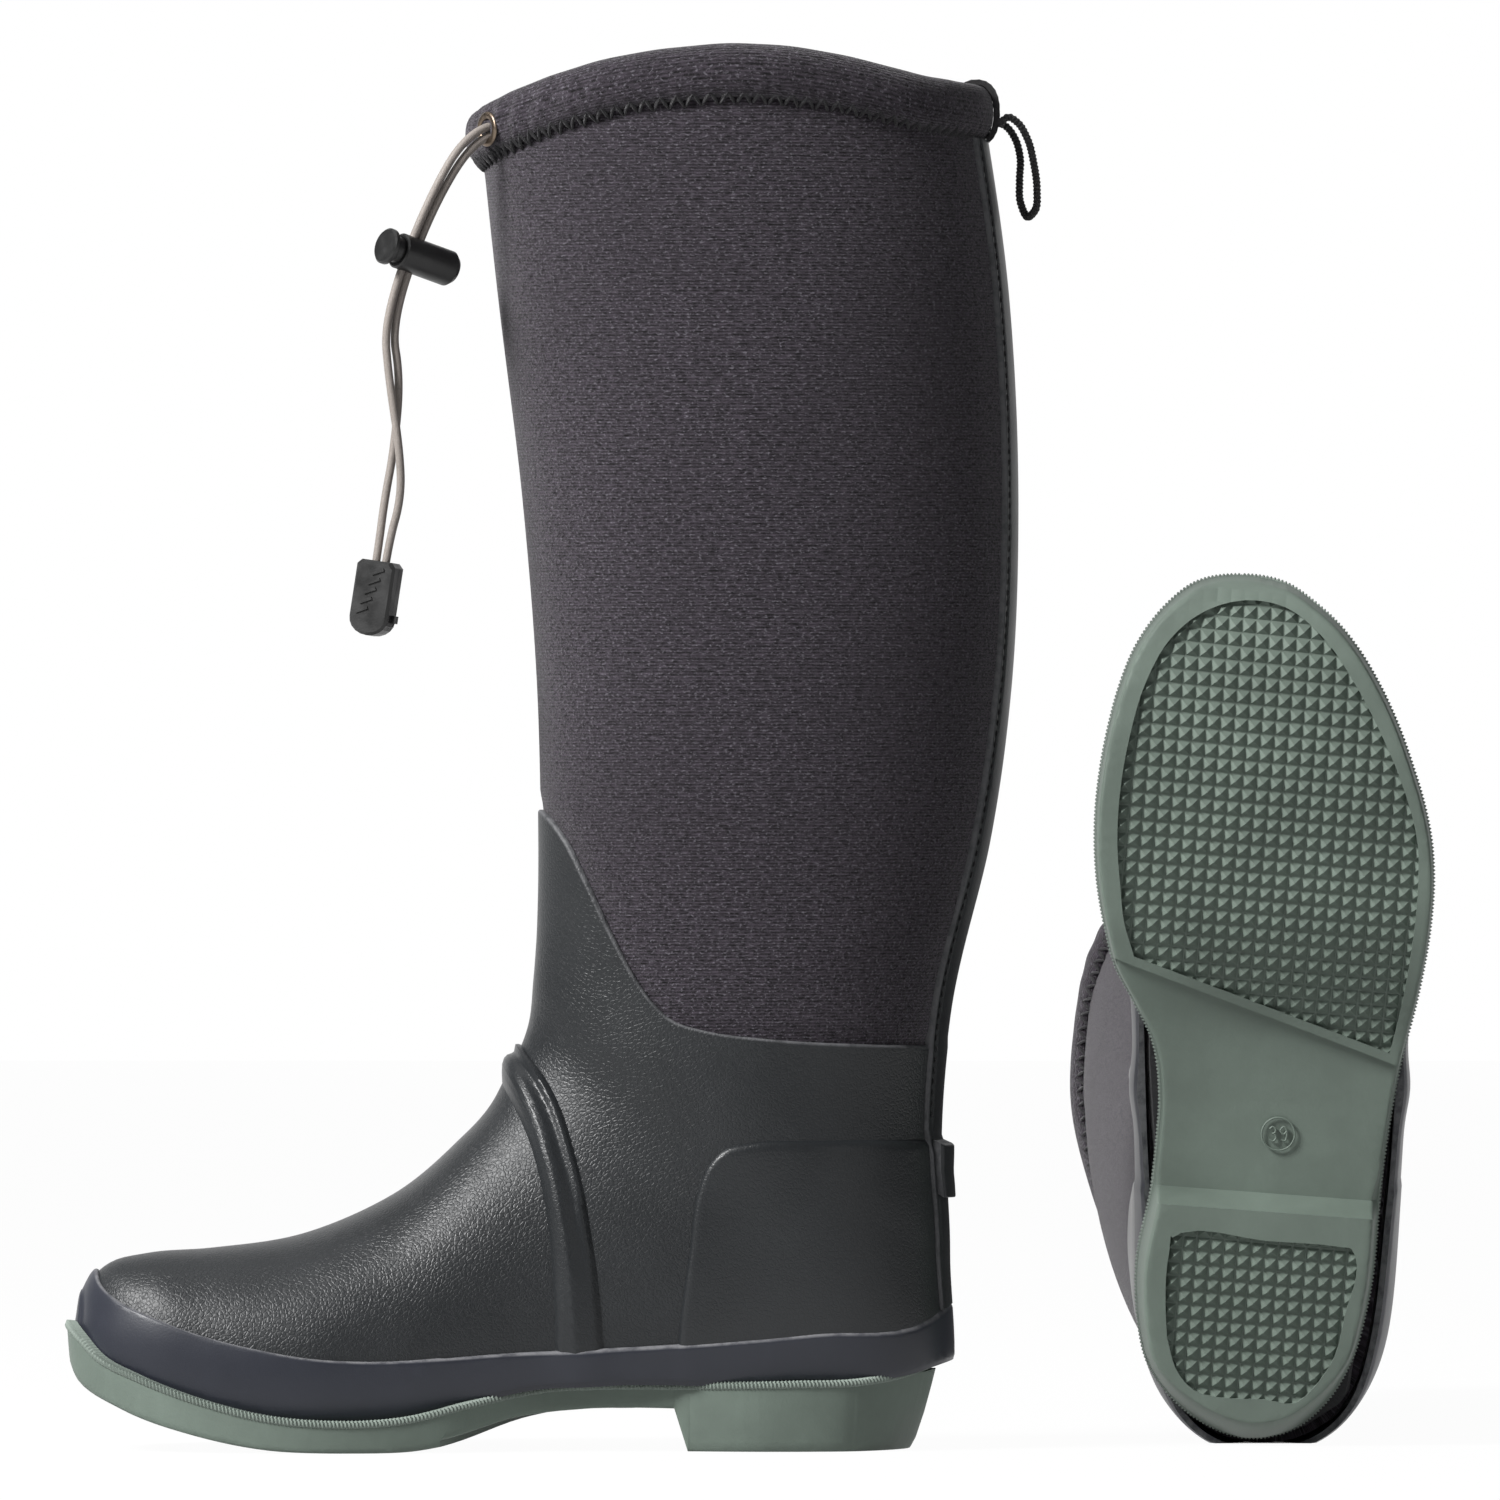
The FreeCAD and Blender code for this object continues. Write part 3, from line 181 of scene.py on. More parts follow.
def surface(position, turn, layer=0.0):
    """Points of the boot's skin: turn 0 is the front, half a turn the sole and the back."""
    position, turn = np.asarray(position, float), np.asarray(turn, float)
    fx, fz, bx, bz, half, shift, widest, upper, lower, share = np.moveaxis(BODY(position), -1, 0)
    length = np.hypot(fx - bx, fz - bz)
    c, s = np.cos(turn), np.sin(turn)
    power = np.where(c >= 0, upper, lower)
    reach = np.where(c >= 0, 1 - widest, widest) * length + layer
    cap = np.clip(-position, 0, 1) * HALF_TURN / 2
    along = np.sign(c) * np.abs(c) ** (2 / power) * reach * np.cos(cap) + widest * length
    across = np.sign(s) * np.abs(s) ** (2 / power) * (half + layer) * np.cos(cap)
    x = bx + (fx - bx) / length * along - share * layer - np.sin(cap) * TOE_CAP
    return x, shift + across, bz + (fz - bz) / length * along


class Line:
    """A side-view line. Called, it gives the distance from it, positive on the left of its way."""

    def __init__(self, points, parts=6):
        points = Through(points).dense(parts)
        self.start, self.way = points[:-1], np.diff(points, axis=0)

    def __call__(self, x, y, z):
        offset = np.stack([x, z], -1)[:, None] - self.start[None]
        share = np.clip((offset * self.way).sum(-1) / (self.way ** 2).sum(-1), 0, 1)
        gap = np.linalg.norm(offset - share[..., None] * self.way, axis=-1)
        near = gap.argmin(1)
        own = offset[np.arange(len(near)), near]
        side = self.way[near, 0] * own[:, 1] - self.way[near, 1] * own[:, 0]
        return np.where(side >= 0, 1.0, -1.0) * gap.min(1)


sole_top, foxing_top, rubber_top = Line(SOLE_TOP), Line(FOXING_TOP), Line(RUBBER_TOP)
band_front, band_back, counter_edge = Line(BAND_FRONT), Line(BAND_BACK), Line(COUNTER)
RIM_SMOOTH = Through(RIM).dense(8)
SOLE_TOP_SMOOTH = Through(SOLE_TOP).dense(8)


def rim_height(x):
    return np.interp(x, RIM_SMOOTH[:, 0], RIM_SMOOTH[:, 1])


def seam_drop(x, y, z):
    """How far a point lies under the collar's seam."""
    return rim_height(x) - COLLAR_DEPTH - z


tread_side, tread_rear, breast = Line(TREAD_SIDE[::-1]), Line(TREAD_REAR, 1), Line(BREAST, 1)
heel_tread = Line((HEEL_TREAD + HEEL_TREAD[:1])[::-1], 4)
sole_edge = Line((SOLE_OUTLINE[-2:] + SOLE_OUTLINE + SOLE_OUTLINE[:2])[::-1], 5)
TREAD_SMOOTH, ARCH_SMOOTH = Through(TREAD_GROUND).dense(6), Through(ARCH_GROUND).dense(6)


def ease(value):
    value = np.clip(value, 0, 1)
    return value * value * (3 - 2 * value)


def round_over(gap, radius):
    """The height of a rounded edge: 0 at the edge, 1 from one radius in."""
    inward = 1 - np.clip(gap / radius, 0, 1)
    return np.sqrt(1 - inward ** 2)


class Build:
    """Points and faces of one piece in a boot's frame, with two maps: over the skin and along its edge."""

    def __init__(self):
        self.points, self.faces, self.skin, self.edge = [], [], [], []

    def add(self, points, faces, skin=None, edge=None):
        """skin and edge hold one pair for each corner of each face."""
        base = len(self.points)
        self.points += [tuple(map(float, p)) for p in points]
        for i, face in enumerate(faces):
            self.faces.append([base + int(k) for k in face])
            self.skin.append(skin[i] if skin else [(0.0, 0.0)] * len(face))
            self.edge.append(edge[i] if edge else [(1.0, 0.0)] * len(face))

    def sweep(self, path, profile, closed=False, flat=None, taper=None):
        """A profile of (across, up) pairs carried along a path. flat keeps its first axis level with it."""
        path = [Vector(p) for p in path]
        n, m = len(profile), len(path)
        points, run, runs = [], 0.0, []
        side = None
        for i, p in enumerate(path):
            ahead = path[(i + 1) % m] if closed else path[min(i + 1, m - 1)]
            behind = path[i - 1] if closed or i else path[0]
            way = (ahead - behind).normalized()
            if flat is not None:
                hint = Vector(flat[i] if isinstance(flat, list) else flat)
            else:
                hint = side or (Vector((0, 0, 1)) if abs(way.z) < 0.9 else Vector((1, 0, 0)))
            side = (hint - way * hint.dot(way)).normalized()
            up = way.cross(side)
            size = taper[i] if taper else 1.0
            points += [p + side * a * size + up * b * size for a, b in profile]
            run += (p - path[i - 1]).length if i else 0.0
            runs.append(run)
        faces, skin = [], []
        for i in range(m if closed else m - 1):
            a, b = i * n, ((i + 1) % m) * n
            for k in range(n):
                q = (k + 1) % n
                faces.append((a + k, a + q, b + q, b + k))
                ends = (runs[i], runs[i + 1] if i + 1 < m else run + (path[0] - path[-1]).length)
                skin.append([(k / n, ends[0]), ((k + 1) / n, ends[0]), ((k + 1) / n, ends[1]), (k / n, ends[1])])
        if not closed:
            faces += [tuple(range(n))[::-1], tuple((m - 1) * n + k for k in range(n))]
            skin += [[(0.5, 0.0)] * n, [(0.5, run)] * n]
        self.add(points, faces, skin)

    def lathe(self, lay, profile, sides=48):
        """A profile of (radius, height) turned round the Z axis of the matrix lay."""
        rows = []
        for radius, height in profile:
            if radius < 1e-6:
                rows.append([lay @ Vector((0, 0, height))])
            else:
                turns = [2 * HALF_TURN * k / sides for k in range(sides)]
                rows.append([lay @ Vector((radius * math.cos(t), radius * math.sin(t), height)) for t in turns])
        points = [p for row in rows for p in row]
        starts = [sum(len(r) for r in rows[:i]) for i in range(len(rows))]
        faces = []
        for i in range(len(rows) - 1):
            a, b = starts[i], starts[i + 1]
            for k in range(sides):
                q = (k + 1) % sides
                low = [a] if len(rows[i]) == 1 else [a + k, a + q]
                high = [b] if len(rows[i + 1]) == 1 else [b + q, b + k]
                if len(low) + len(high) > 2:
                    faces.append(low + high)
        self.add(points, faces)


def circle(radius, sides):
    turns = [2 * HALF_TURN * k / sides for k in range(sides)]
    return [(radius * math.cos(turn), radius * math.sin(turn)) for turn in turns]


def rounded(value, power):
    """A power of the value's size, with its sign kept."""
    return math.copysign(abs(value) ** power, value)


class Patch:
    """Cells of the boot's skin between two positions and two turns, cut along lines."""

    def __init__(self, first, last, pitch, cells, turns=(-HALF_TURN, HALF_TURN)):
        marks = [first]
        for i in range(len(SECTIONS) - 1):
            low, high = max(first, i), min(last, i + 1)
            if high > low:
                count = max(1, int(BODY.span[i] * (high - low) / pitch / 1.41))
                marks += [low + (high - low) * (k + 1) / count for k in range(count)]
            if i == 0 and first < 0:
                marks = [first + (0 - first) * k / 8 for k in range(9)] + marks[1:]
        around = np.linspace(turns[0], turns[1], cells + 1)
        self.spots = np.array([(p, t) for p in marks for t in around])
        n = cells + 1
        self.faces = [[j * n + k, j * n + k + 1, (j + 1) * n + k + 1, (j + 1) * n + k]
                      for j in range(len(marks) - 1) for k in range(cells)]

    def places(self, layer=0.0):
        return surface(self.spots[:, 0], self.spots[:, 1], layer)

    def cut(self, field, level=0.0, keep_all=False):
        """Keep where the field is over the level, or only add an edge there."""
        value = field(*self.places()) - level
        value[np.abs(value) < 0.03] = 0
        value = value.tolist()
        spots, made, faces = self.spots.tolist(), {}, []

        def crossing(a, b):
            a, b = min(a, b), max(a, b)
            if (a, b) not in made:
                share = value[a] / (value[a] - value[b])
                made[a, b] = len(spots)
                spots.append([p + (q - p) * share for p, q in zip(spots[a], spots[b])])
            return made[a, b]
        for face in self.faces:
            high, low = max(value[i] for i in face), min(value[i] for i in face)
            if low >= 0 or (keep_all and high <= 0):
                faces.append(face)
            elif high > 0:
                for sign in (1, -1) if keep_all else (1,):
                    part = []
                    for a, b in zip(face, face[1:] + face[:1]):
                        if sign * value[a] >= 0:
                            part.append(a)
                        if value[a] * value[b] < 0:
                            part.append(crossing(a, b))
                    if len(part) > 2:
                        faces.append(part)
        used = sorted({i for face in faces for i in face})
        order = {old: new for new, old in enumerate(used)}
        self.spots = np.array([spots[i] for i in used])
        self.faces = [[order[i] for i in face] for face in faces]
        return self

    def bevels(self, field, levels):
        for level in levels:
            self.cut(field, level, True)
        return self

    def build(self, outer, inner, gap=None):
        """The closed skin between two layers. gap is the field written to the edge map."""
        spots = self.spots
        x, y, z = self.places()
        levels = []
        for layer in (outer, inner):
            levels.append(layer(x, y, z, spots[:, 1]) if callable(layer) else np.full(len(spots), layer))
        keys, order, kept = {}, [], []
        for i, (p, t) in enumerate(spots.tolist()):
            key = (round(p, 5), round(math.cos(t), 5), round(math.sin(t), 5))
            if p <= -1:
                key = (-1,)
            if key not in keys:
                keys[key] = len(kept)
                kept.append(i)
            order.append(keys[key])
        n = len(kept)
        points = []
        for level in levels:
            points += list(zip(*(a[kept].tolist() for a in surface(spots[:, 0], spots[:, 1], level))))
        skin = np.stack([spots[:, 1] * 0.046, z * MM], -1).tolist()
        away = (np.full(len(spots), 1.0) if gap is None else gap(x, y, z) * MM).tolist()
        faces, maps, edges, rims = [], [], [], {}
        for face in self.faces:
            merged = [order[i] for i in face]
            clean = [k for k in range(len(face)) if merged[k] != merged[k - 1]]
            if len(clean) < 3:
                continue
            merged = [merged[k] for k in clean]
            own = [skin[face[k]] for k in clean]
            far = [(away[face[k]], 0.0) for k in clean]
            faces += [merged, [i + n for i in merged[::-1]]]
            maps += [own, own[::-1]]
            edges += [far, far[::-1]]
            for k in range(len(merged)):
                a, b = merged[k - 1], merged[k]
                if (b, a) in rims:
                    del rims[b, a]
                else:
                    rims[a, b] = (own[k - 1], own[k])
        for (a, b), (first, last) in rims.items():
            faces.append([b, a, a + n, b + n])
            maps.append([last, first, first, last])
            edges.append([(0.0, 0.0)] * 4)
        made = Build()
        made.add(points, faces, maps, edges)
        return made


class Underside(Patch):
    """The sole's plan in the tread's own squares, cut along its edges."""

    def __init__(self):
        e = (TREAD_PITCH * math.sin(TREAD_TURN), TREAD_PITCH * math.cos(TREAD_TURN))
        index, self.spots, self.faces = {}, [], []

        def spot(u, v):
            key = (round(u, 3), round(v, 3))
            if key not in index:
                index[key] = len(self.spots)
                self.spots.append((TREAD_CENTRE[0] + u * e[0] - v * e[1], TREAD_CENTRE[1] + u * e[1] + v * e[0]))
            return index[key]
        low, high = VALLEYS
        # Enough squares to cover the outline
        for u in range(-17, 17):
            for v in range(-42, 34):
                outer = [spot(u + a, v + b) for a, b in ((0, 0), (1, 0), (1, 1), (0, 1))]
                inner = [spot(u + a, v + b) for a, b in ((low, low), (high, low), (high, high), (low, high))]
                tip = spot(u + 0.5, v + 0.5)
                for k in range(4):
                    q = (k + 1) % 4
                    self.faces += [[inner[k], inner[q], outer[q], outer[k]], [tip, inner[q], inner[k]]]
        self.spots = np.array(self.spots)

    def places(self, layer=0.0):
        x, y = self.spots.T
        return x, y, np.zeros(len(x))

    @staticmethod
    def studs(x, y):
        """Height of the pyramids, from 0 in their valleys to 1 on their tips."""
        c, s = math.cos(TREAD_TURN), math.sin(TREAD_TURN)
        x, y = x - TREAD_CENTRE[0], y - TREAD_CENTRE[1]
        u, v = (x * s + y * c) / TREAD_PITCH, (-x * c + y * s) / TREAD_PITCH
        reach = np.maximum(np.abs(u % 1 - 0.5), np.abs(v % 1 - 0.5))
        return np.clip((STUD_HALF - reach) / STUD_HALF, 0, 1)

    @staticmethod
    def heights(x, y):
        """Heights of the tread's rim, the arch and heel, and the sunk tread."""
        rim = np.interp(x, TREAD_SMOOTH[:, 0], TREAD_SMOOTH[:, 1])
        arch = np.interp(x, ARCH_SMOOTH[:, 0], ARCH_SMOOTH[:, 1])
        share = np.clip(breast_gap(x, y) / BREAST_RUN, 0, 1)
        back = arch * (1 - share) + HEEL_GROUND * share
        floor = np.where(x < -100, rim, back) + TREAD_DEPTH
        return rim, back, floor - (TREAD_DEPTH - 0.15) * Underside.studs(x, y)


def reverse(line):
    """A line's distance, positive on its right."""
    return lambda x, y, z: -line(x, y, z)


def plan(line):
    """A plan line's distance as a field of x, y and z."""
    return lambda x, y, z: line(x, z, y)


def breast_gap(x, y):
    """How far a place lies behind the heel's front edge."""
    return -breast(x, x, y)


def draft(x):
    """How far the sole's side leans in from its top to its underside."""
    return 0.9 + 1.5 * ease((x + 92) / 12) + 6.6 * ease((x + 36) / 32)


def on_standing(p):
    return Vector((p[0] + STANDING[0], p[1] + STANDING[1], p[2] + STANDING[2])) * MM


def on_lying(p):
    """The lying boot is the standing one's mirror image, so p's Y is that of the standing one."""
    c, s = math.cos(TILT), math.sin(TILT)
    return Vector((p[1] + LYING[0], s * p[0] + c * p[2] + LYING[1], -c * p[0] + s * p[2] + LYING[2])) * MM


def from_left(p):
    """A point in the left boot's own frame, where the big toe is towards +Y."""
    return on_lying((p[0], -p[1], p[2]))


PLACES = {"right": on_standing, "left": on_lying}


def place_piece(name, build, side, finish, nodes=(), body="boots", own_frame=False, sharp=40):
    """One object from a build, placed on its side and handed to its body."""
    spot = from_left if own_frame and side == "left" else PLACES[side]
    points = [spot(p) for p in build.points]
    # The lying boot's rubber is pressed flat where it rests on the floor
    for point in points:
        point.z = max(point.z, 0.0)
    faces, skin, edge = build.faces, build.skin, build.edge
    if side == "left" and not own_frame:
        faces, skin, edge = ([f[::-1] for f in rows] for rows in (faces, skin, edge))
    mesh = bpy.data.meshes.new(name)
    mesh.from_pydata(points, [], faces)
    for label, rows in (("Skin", skin), ("Edge", edge)):
        layer = mesh.uv_layers.new(name=label)
        layer.uv.foreach_set("vector", np.array([v for row in rows for v in row], np.float32).ravel())
    mesh.polygons.foreach_set("use_smooth", [True] * len(mesh.polygons))
    mesh.set_sharp_from_angle(angle=math.radians(sharp))
    mesh.materials.append(finish)
    mesh.validate()
    mesh.update()
    piece = bpy.data.objects.new(name, mesh)
    bpy.context.scene.collection.objects.link(piece)
    return settle(piece, nodes, body)


def settle(piece, nodes, body):
    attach(piece, body)
    if nodes:
        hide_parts(*nodes)
    return piece


def both(name, build, finish, node=None, sharp=40):
    for side in PLACES:
        place_piece(f"{side}_{name}", build, side, finish, [f"{side}_{node}"] if node else (), sharp=sharp)


class Term:
    """A shader value that takes part in sums and products."""

    def __init__(self, finish, socket):
        self.finish, self.socket = finish, socket

    def __add__(self, other):
        return self.finish.maths("ADD", self, other)

    def __sub__(self, other):
        return self.finish.maths("SUBTRACT", self, other)

    def __rsub__(self, other):
        return self.finish.maths("SUBTRACT", other, self)

    def __mul__(self, other):
        return self.finish.maths("MULTIPLY", self, other)

    def __truediv__(self, other):
        return self.finish.maths("DIVIDE", self, other)

    __radd__, __rmul__ = __add__, __mul__


class Finish:
    """A procedural material, written as expressions."""

    def __init__(self, name):
        self.material = bpy.data.materials.new(name)
        self.material.use_nodes = True
        self.tree = self.material.node_tree
        self.tree.nodes.clear()

    def node(self, kind, settings=None, inputs=None, out=0):
        node = self.tree.nodes.new(kind)
        for key, value in (settings or {}).items():
            if key == "stops":
                while len(node.color_ramp.elements) < len(value):
                    node.color_ramp.elements.new(1.0)
                for element, (place, shade) in zip(node.color_ramp.elements, value):
                    element.position, element.color = place, (*shade, 1.0)
            else:
                setattr(node, key, value)
        for key, value in (inputs or {}).items():
            if isinstance(value, Term):
                self.tree.links.new(value.socket, node.inputs[key])
            else:
                node.inputs[key].default_value = value
        return Term(self, node.outputs[out]) if node.outputs else None

    def maths(self, operation, *terms):
        return self.node("ShaderNodeMath", {"operation": operation}, dict(enumerate(terms)))

    def limited(self, term, low=0.0, high=1.0, start=0.0, end=1.0):
        """The term's run from low to high, eased, as start to end."""
        return self.node("ShaderNodeMapRange", {"interpolation_type": "SMOOTHSTEP"},
                         {0: term, 1: low, 2: high, 3: start, 4: end})

    def place(self):
        return self.node("ShaderNodeTexCoord", out="Object")

    def map(self, name):
        return self.node("ShaderNodeUVMap", {"uv_map": name})

    def part(self, vector, axis):
        return self.node("ShaderNodeSeparateXYZ", None, {0: vector}, axis)

    def vector(self, x, y, z=0.0):
        return self.node("ShaderNodeCombineXYZ", None, {0: x, 1: y, 2: z})

    def stretched(self, where, x, y, z):
        """The place with each axis scaled by itself."""
        return self.vector(self.part(where, 0) * x, self.part(where, 1) * y, self.part(where, 2) * z)

    def noise(self, where, scale, detail=3.0, roughness=0.5):
        return self.node("ShaderNodeTexNoise", None,
                         {"Vector": where, "Scale": scale, "Detail": detail, "Roughness": roughness})

    def cells(self, where, scale, feature="F1"):
        inputs = {"Vector": where, "Scale": scale}
        if feature == "SMOOTH_F1":
            inputs["Smoothness"] = 0.6
        return self.node("ShaderNodeTexVoronoi", {"feature": feature}, inputs)

    def mix(self, share, first, last):
        def colour(value):
            return value if isinstance(value, Term) else (*value, 1.0)
        return self.node("ShaderNodeMix", {"data_type": "RGBA"},
                         {0: share, 6: colour(first), 7: colour(last)}, 2)

    def bump(self, height, distance, strength=1.0):
        return self.node("ShaderNodeBump", None, {"Height": height, "Distance": distance, "Strength": strength})

    def done(self, **inputs):
        named = {key.replace("_", " "): value for key, value in inputs.items()}
        shader = self.node("ShaderNodeBsdfPrincipled", None, named)
        self.node("ShaderNodeOutputMaterial", None, {"Surface": shader})
        return self.material


def look():
    return bpy.context.scene.boot_look


def sizes():
    return bpy.context.scene.boot_sizes


def shade(colour, factor=1.0):
    return tuple(min(1.0, c * factor) for c in colour[:3])


def knit_finish():
    """Elastic knit face of the neoprene: fine level ribs of flat stitches with pale flecks, and painted shade
    darkening the hollows between the ribs and stitches.
    """
    f = Finish("knit")
    skin = f.map("Skin")
    across, height = f.part(skin, 0), f.part(skin, 1)
    wander = f.noise(skin, 160.0, 2.0)
    rows = height / sizes().rib_pitch + wander * 0.5
    rib = f.maths("SINE", rows * (2 * HALF_TURN)) * 0.5 + 0.5
    stitch = f.limited(f.noise(f.vector(across * 620.0, height * 900.0), 1.0, 4.0, 0.8), 0.43, 0.58)
    tuft = f.limited(f.noise(f.vector(across * 330.0, height * 520.0), 1.0, 3.0, 0.7), 0.40, 0.62)
    speck = f.noise(f.vector(across * 1300.0, height * 1250.0), 1.0, 2.0, 0.7)
    fleck = f.limited(speck, 0.55, 0.66)
    cloud = f.noise(f.place(), 18.0, 4.0)
    base = shade(look().knit)
    # Colour from black on the low places of the ribs, stitches and tufts to about twice the knit's colour on their
    # tops: partly the yarn's own uneven tone, partly painted shade in the hollows and painted light on the tops.
    colour = f.mix(rib * 0.4 + stitch * 0.38 + tuft * 0.22, (0.0, 0.0, 0.0), shade(base, 2.1))
    colour = f.mix(fleck * 0.8, colour, shade(look().fleck, 1.15))
    colour = f.mix(f.limited(cloud, 0.35, 0.7, 0.0, 0.25), colour, shade(base, 0.6))
    bump = f.bump(rib * 0.5 + stitch * 0.5 + tuft * 0.3 + speck * 0.35, 0.00024)
    return f.done(Base_Color=colour, Roughness=0.92, Sheen_Weight=0.25, Sheen_Roughness=0.45, Normal=bump,
                  Specular_IOR_Level=0.25)


def rubber_finish(name, colour, grain, gloss, worn=0.0):
    """Moulded rubber: grain from 0, smooth, to 1, leather-like, with painted shade darkening the grain's creases in
    step; worn lightens the piece's edge.
    """
    f = Finish(name)
    where = f.place()
    warp = f.noise(where, 350.0, 2.0)
    bent = f.node("ShaderNodeVectorMath", {"operation": "MULTIPLY_ADD"},
                  {0: f.vector(warp, warp, warp), 1: (0.0009, 0.0009, 0.0009), 2: where})
    pebble = f.cells(bent, 820.0, "SMOOTH_F1")
    crease = f.limited(f.cells(bent, 760.0, "DISTANCE_TO_EDGE"), 0.0, 0.22)
    fine = f.noise(where, 2600.0, 3.0, 0.6)
    wide = f.noise(where, 16.0, 4.0, 0.55)
    mottle = f.noise(where, 110.0, 4.0, 0.6)
    tone = f.mix(f.limited(wide, 0.3, 0.72), shade(colour, 0.86), shade(colour, 1.14))
    tone = f.mix(f.limited(mottle, 0.55, 0.8, 0.0, 0.35), tone, shade(colour, 1.35))
    # Painted shade: the colour darkens towards the edges of the grain's cells, in its creases, as much as grain asks.
    tone = f.mix((1 - crease) * (0.4 * grain), tone, shade(colour, 0.7))
    roughness = f.limited(wide, 0.25, 0.75, gloss - 0.04, gloss + 0.07) + fine * 0.06
    if worn:
        edge = f.part(f.map("Edge"), 0)
        rub = f.noise(where, 240.0, 4.0, 0.7)
        line = f.limited(edge, 0.0002, 0.0011, 1.0, 0.0) * f.limited(rub, 0.3, 0.62, 0.35, 1.0)
        tone = f.mix(line * worn, tone, shade(look().wear))
        roughness = roughness + line * 0.2
    height = crease * (0.8 * grain) - pebble * (0.7 * grain) + fine * 0.25 + mottle * 0.4
    return f.done(Base_Color=tone, Roughness=roughness, Specular_IOR_Level=0.42,
                  Normal=f.bump(height, 0.00013, 0.55))


def sole_finish():
    """Grey-green moulded rubber, with broad random tone, lighter scuffs and fine darker specks."""
    f = Finish("sole_green")
    where = f.place()
    base = shade(look().sole)
    wide, fine = f.noise(where, 26.0, 4.0, 0.6), f.noise(where, 900.0, 3.0, 0.6)
    scuff = f.noise(f.stretched(where, 60.0, 60.0, 16.0), 1.0, 5.0, 0.65)
    tone = f.mix(f.limited(wide, 0.3, 0.7), shade(base, 0.86), shade(base, 1.12))
    tone = f.mix(f.limited(scuff, 0.58, 0.78, 0.0, 0.4), tone, shade(base, 1.3))
    tone = f.mix(fine * 0.25, tone, shade(base, 0.8))
    return f.done(Base_Color=tone, Roughness=f.limited(wide, 0.2, 0.8, 0.5, 0.66), Specular_IOR_Level=0.4,
                  Normal=f.bump(fine * 0.6 + wide * 0.5, 0.0002, 0.5))


def braid_finish(name, colour, pitch, contrast):
    """Woven tape and braid: ribs across the run, with lengthwise yarns."""
    f = Finish(name)
    skin = f.map("Skin")
    around, run = f.part(skin, 0), f.part(skin, 1)
    rib = f.maths("SINE", run * (2 * HALF_TURN / pitch) + f.maths("SINE", around * (8 * HALF_TURN)) * 0.9) * 0.5 + 0.5
    yarn = f.noise(f.vector(around * 60.0, run * 8.0), 1.0, 3.0, 0.6)
    colour = shade(colour)
    tone = f.mix(rib * 0.6 + yarn * 0.5, shade(colour, 1 - contrast), shade(colour, 1 + contrast))
    return f.done(Base_Color=tone, Roughness=0.8, Sheen_Weight=0.2, Sheen_Roughness=0.4,
                  Normal=f.bump(rib + yarn * 0.5, 0.00025, 0.8))


def elastic_finish():
    """Braided cover of the elastic cord, with a soft silky sheen."""
    f = Finish("elastic")
    where = f.place()
    base = shade(look().elastic)
    yarn = f.noise(f.stretched(where, 2400.0, 2400.0, 700.0), 1.0, 3.0, 0.6)
    weave = f.cells(where, 2100.0)
    soil = f.noise(where, 90.0, 4.0, 0.6)
    tone = f.mix(yarn * 0.7 + weave * 0.3, shade(base, 0.55), shade(base, 1.25))
    tone = f.mix(f.limited(soil, 0.5, 0.75, 0.0, 0.4), tone, shade(base, 0.6))
    return f.done(Base_Color=tone, Roughness=0.55, Sheen_Weight=0.3, Sheen_Roughness=0.35,
                  Normal=f.bump(yarn + weave * 0.6, 0.00012, 0.8))


def plastic_finish():
    """Black injection-moulded plastic with a faint satin skin."""
    f = Finish("black_plastic")
    where = f.place()
    base = shade(look().plastic)
    fine, wide = f.noise(where, 1800.0, 3.0, 0.6), f.noise(where, 130.0, 4.0, 0.6)
    tone = f.mix(f.limited(wide, 0.45, 0.75), base, shade(base, 1.7))
    return f.done(Base_Color=tone, Roughness=f.limited(wide, 0.3, 0.7, 0.3, 0.46), Specular_IOR_Level=0.5,
                  Normal=f.bump(fine, 0.00006, 0.6))


def metal_finish(name, colour, roughness):
    f = Finish(name)
    where = f.place()
    scratch = f.noise(where, 1400.0, 4.0, 0.7)
    stain = f.noise(where, 260.0, 4.0, 0.6)
    tone = f.mix(f.limited(stain, 0.4, 0.7), shade(colour), shade(colour, 0.45))
    return f.done(Base_Color=tone, Metallic=1.0, Roughness=f.limited(scratch, 0.3, 0.7, roughness, roughness + 0.2),
                  Normal=f.bump(scratch, 0.00004, 0.5))


def foam_finish(name, colour):
    """Insole cloth and board: a close felt with a faint cross weave."""
    f = Finish(name)
    where = f.place()
    fibre = f.noise(where, 1900.0, 4.0, 0.7)
    pores = f.cells(where, 900.0)
    tone = f.mix(fibre * 0.7 + pores * 0.3, shade(colour, 0.55), shade(colour, 1.35))
    return f.done(Base_Color=tone, Roughness=0.95, Sheen_Weight=0.2, Normal=f.bump(fibre + pores, 0.0002, 0.7))


FINISHES = {}


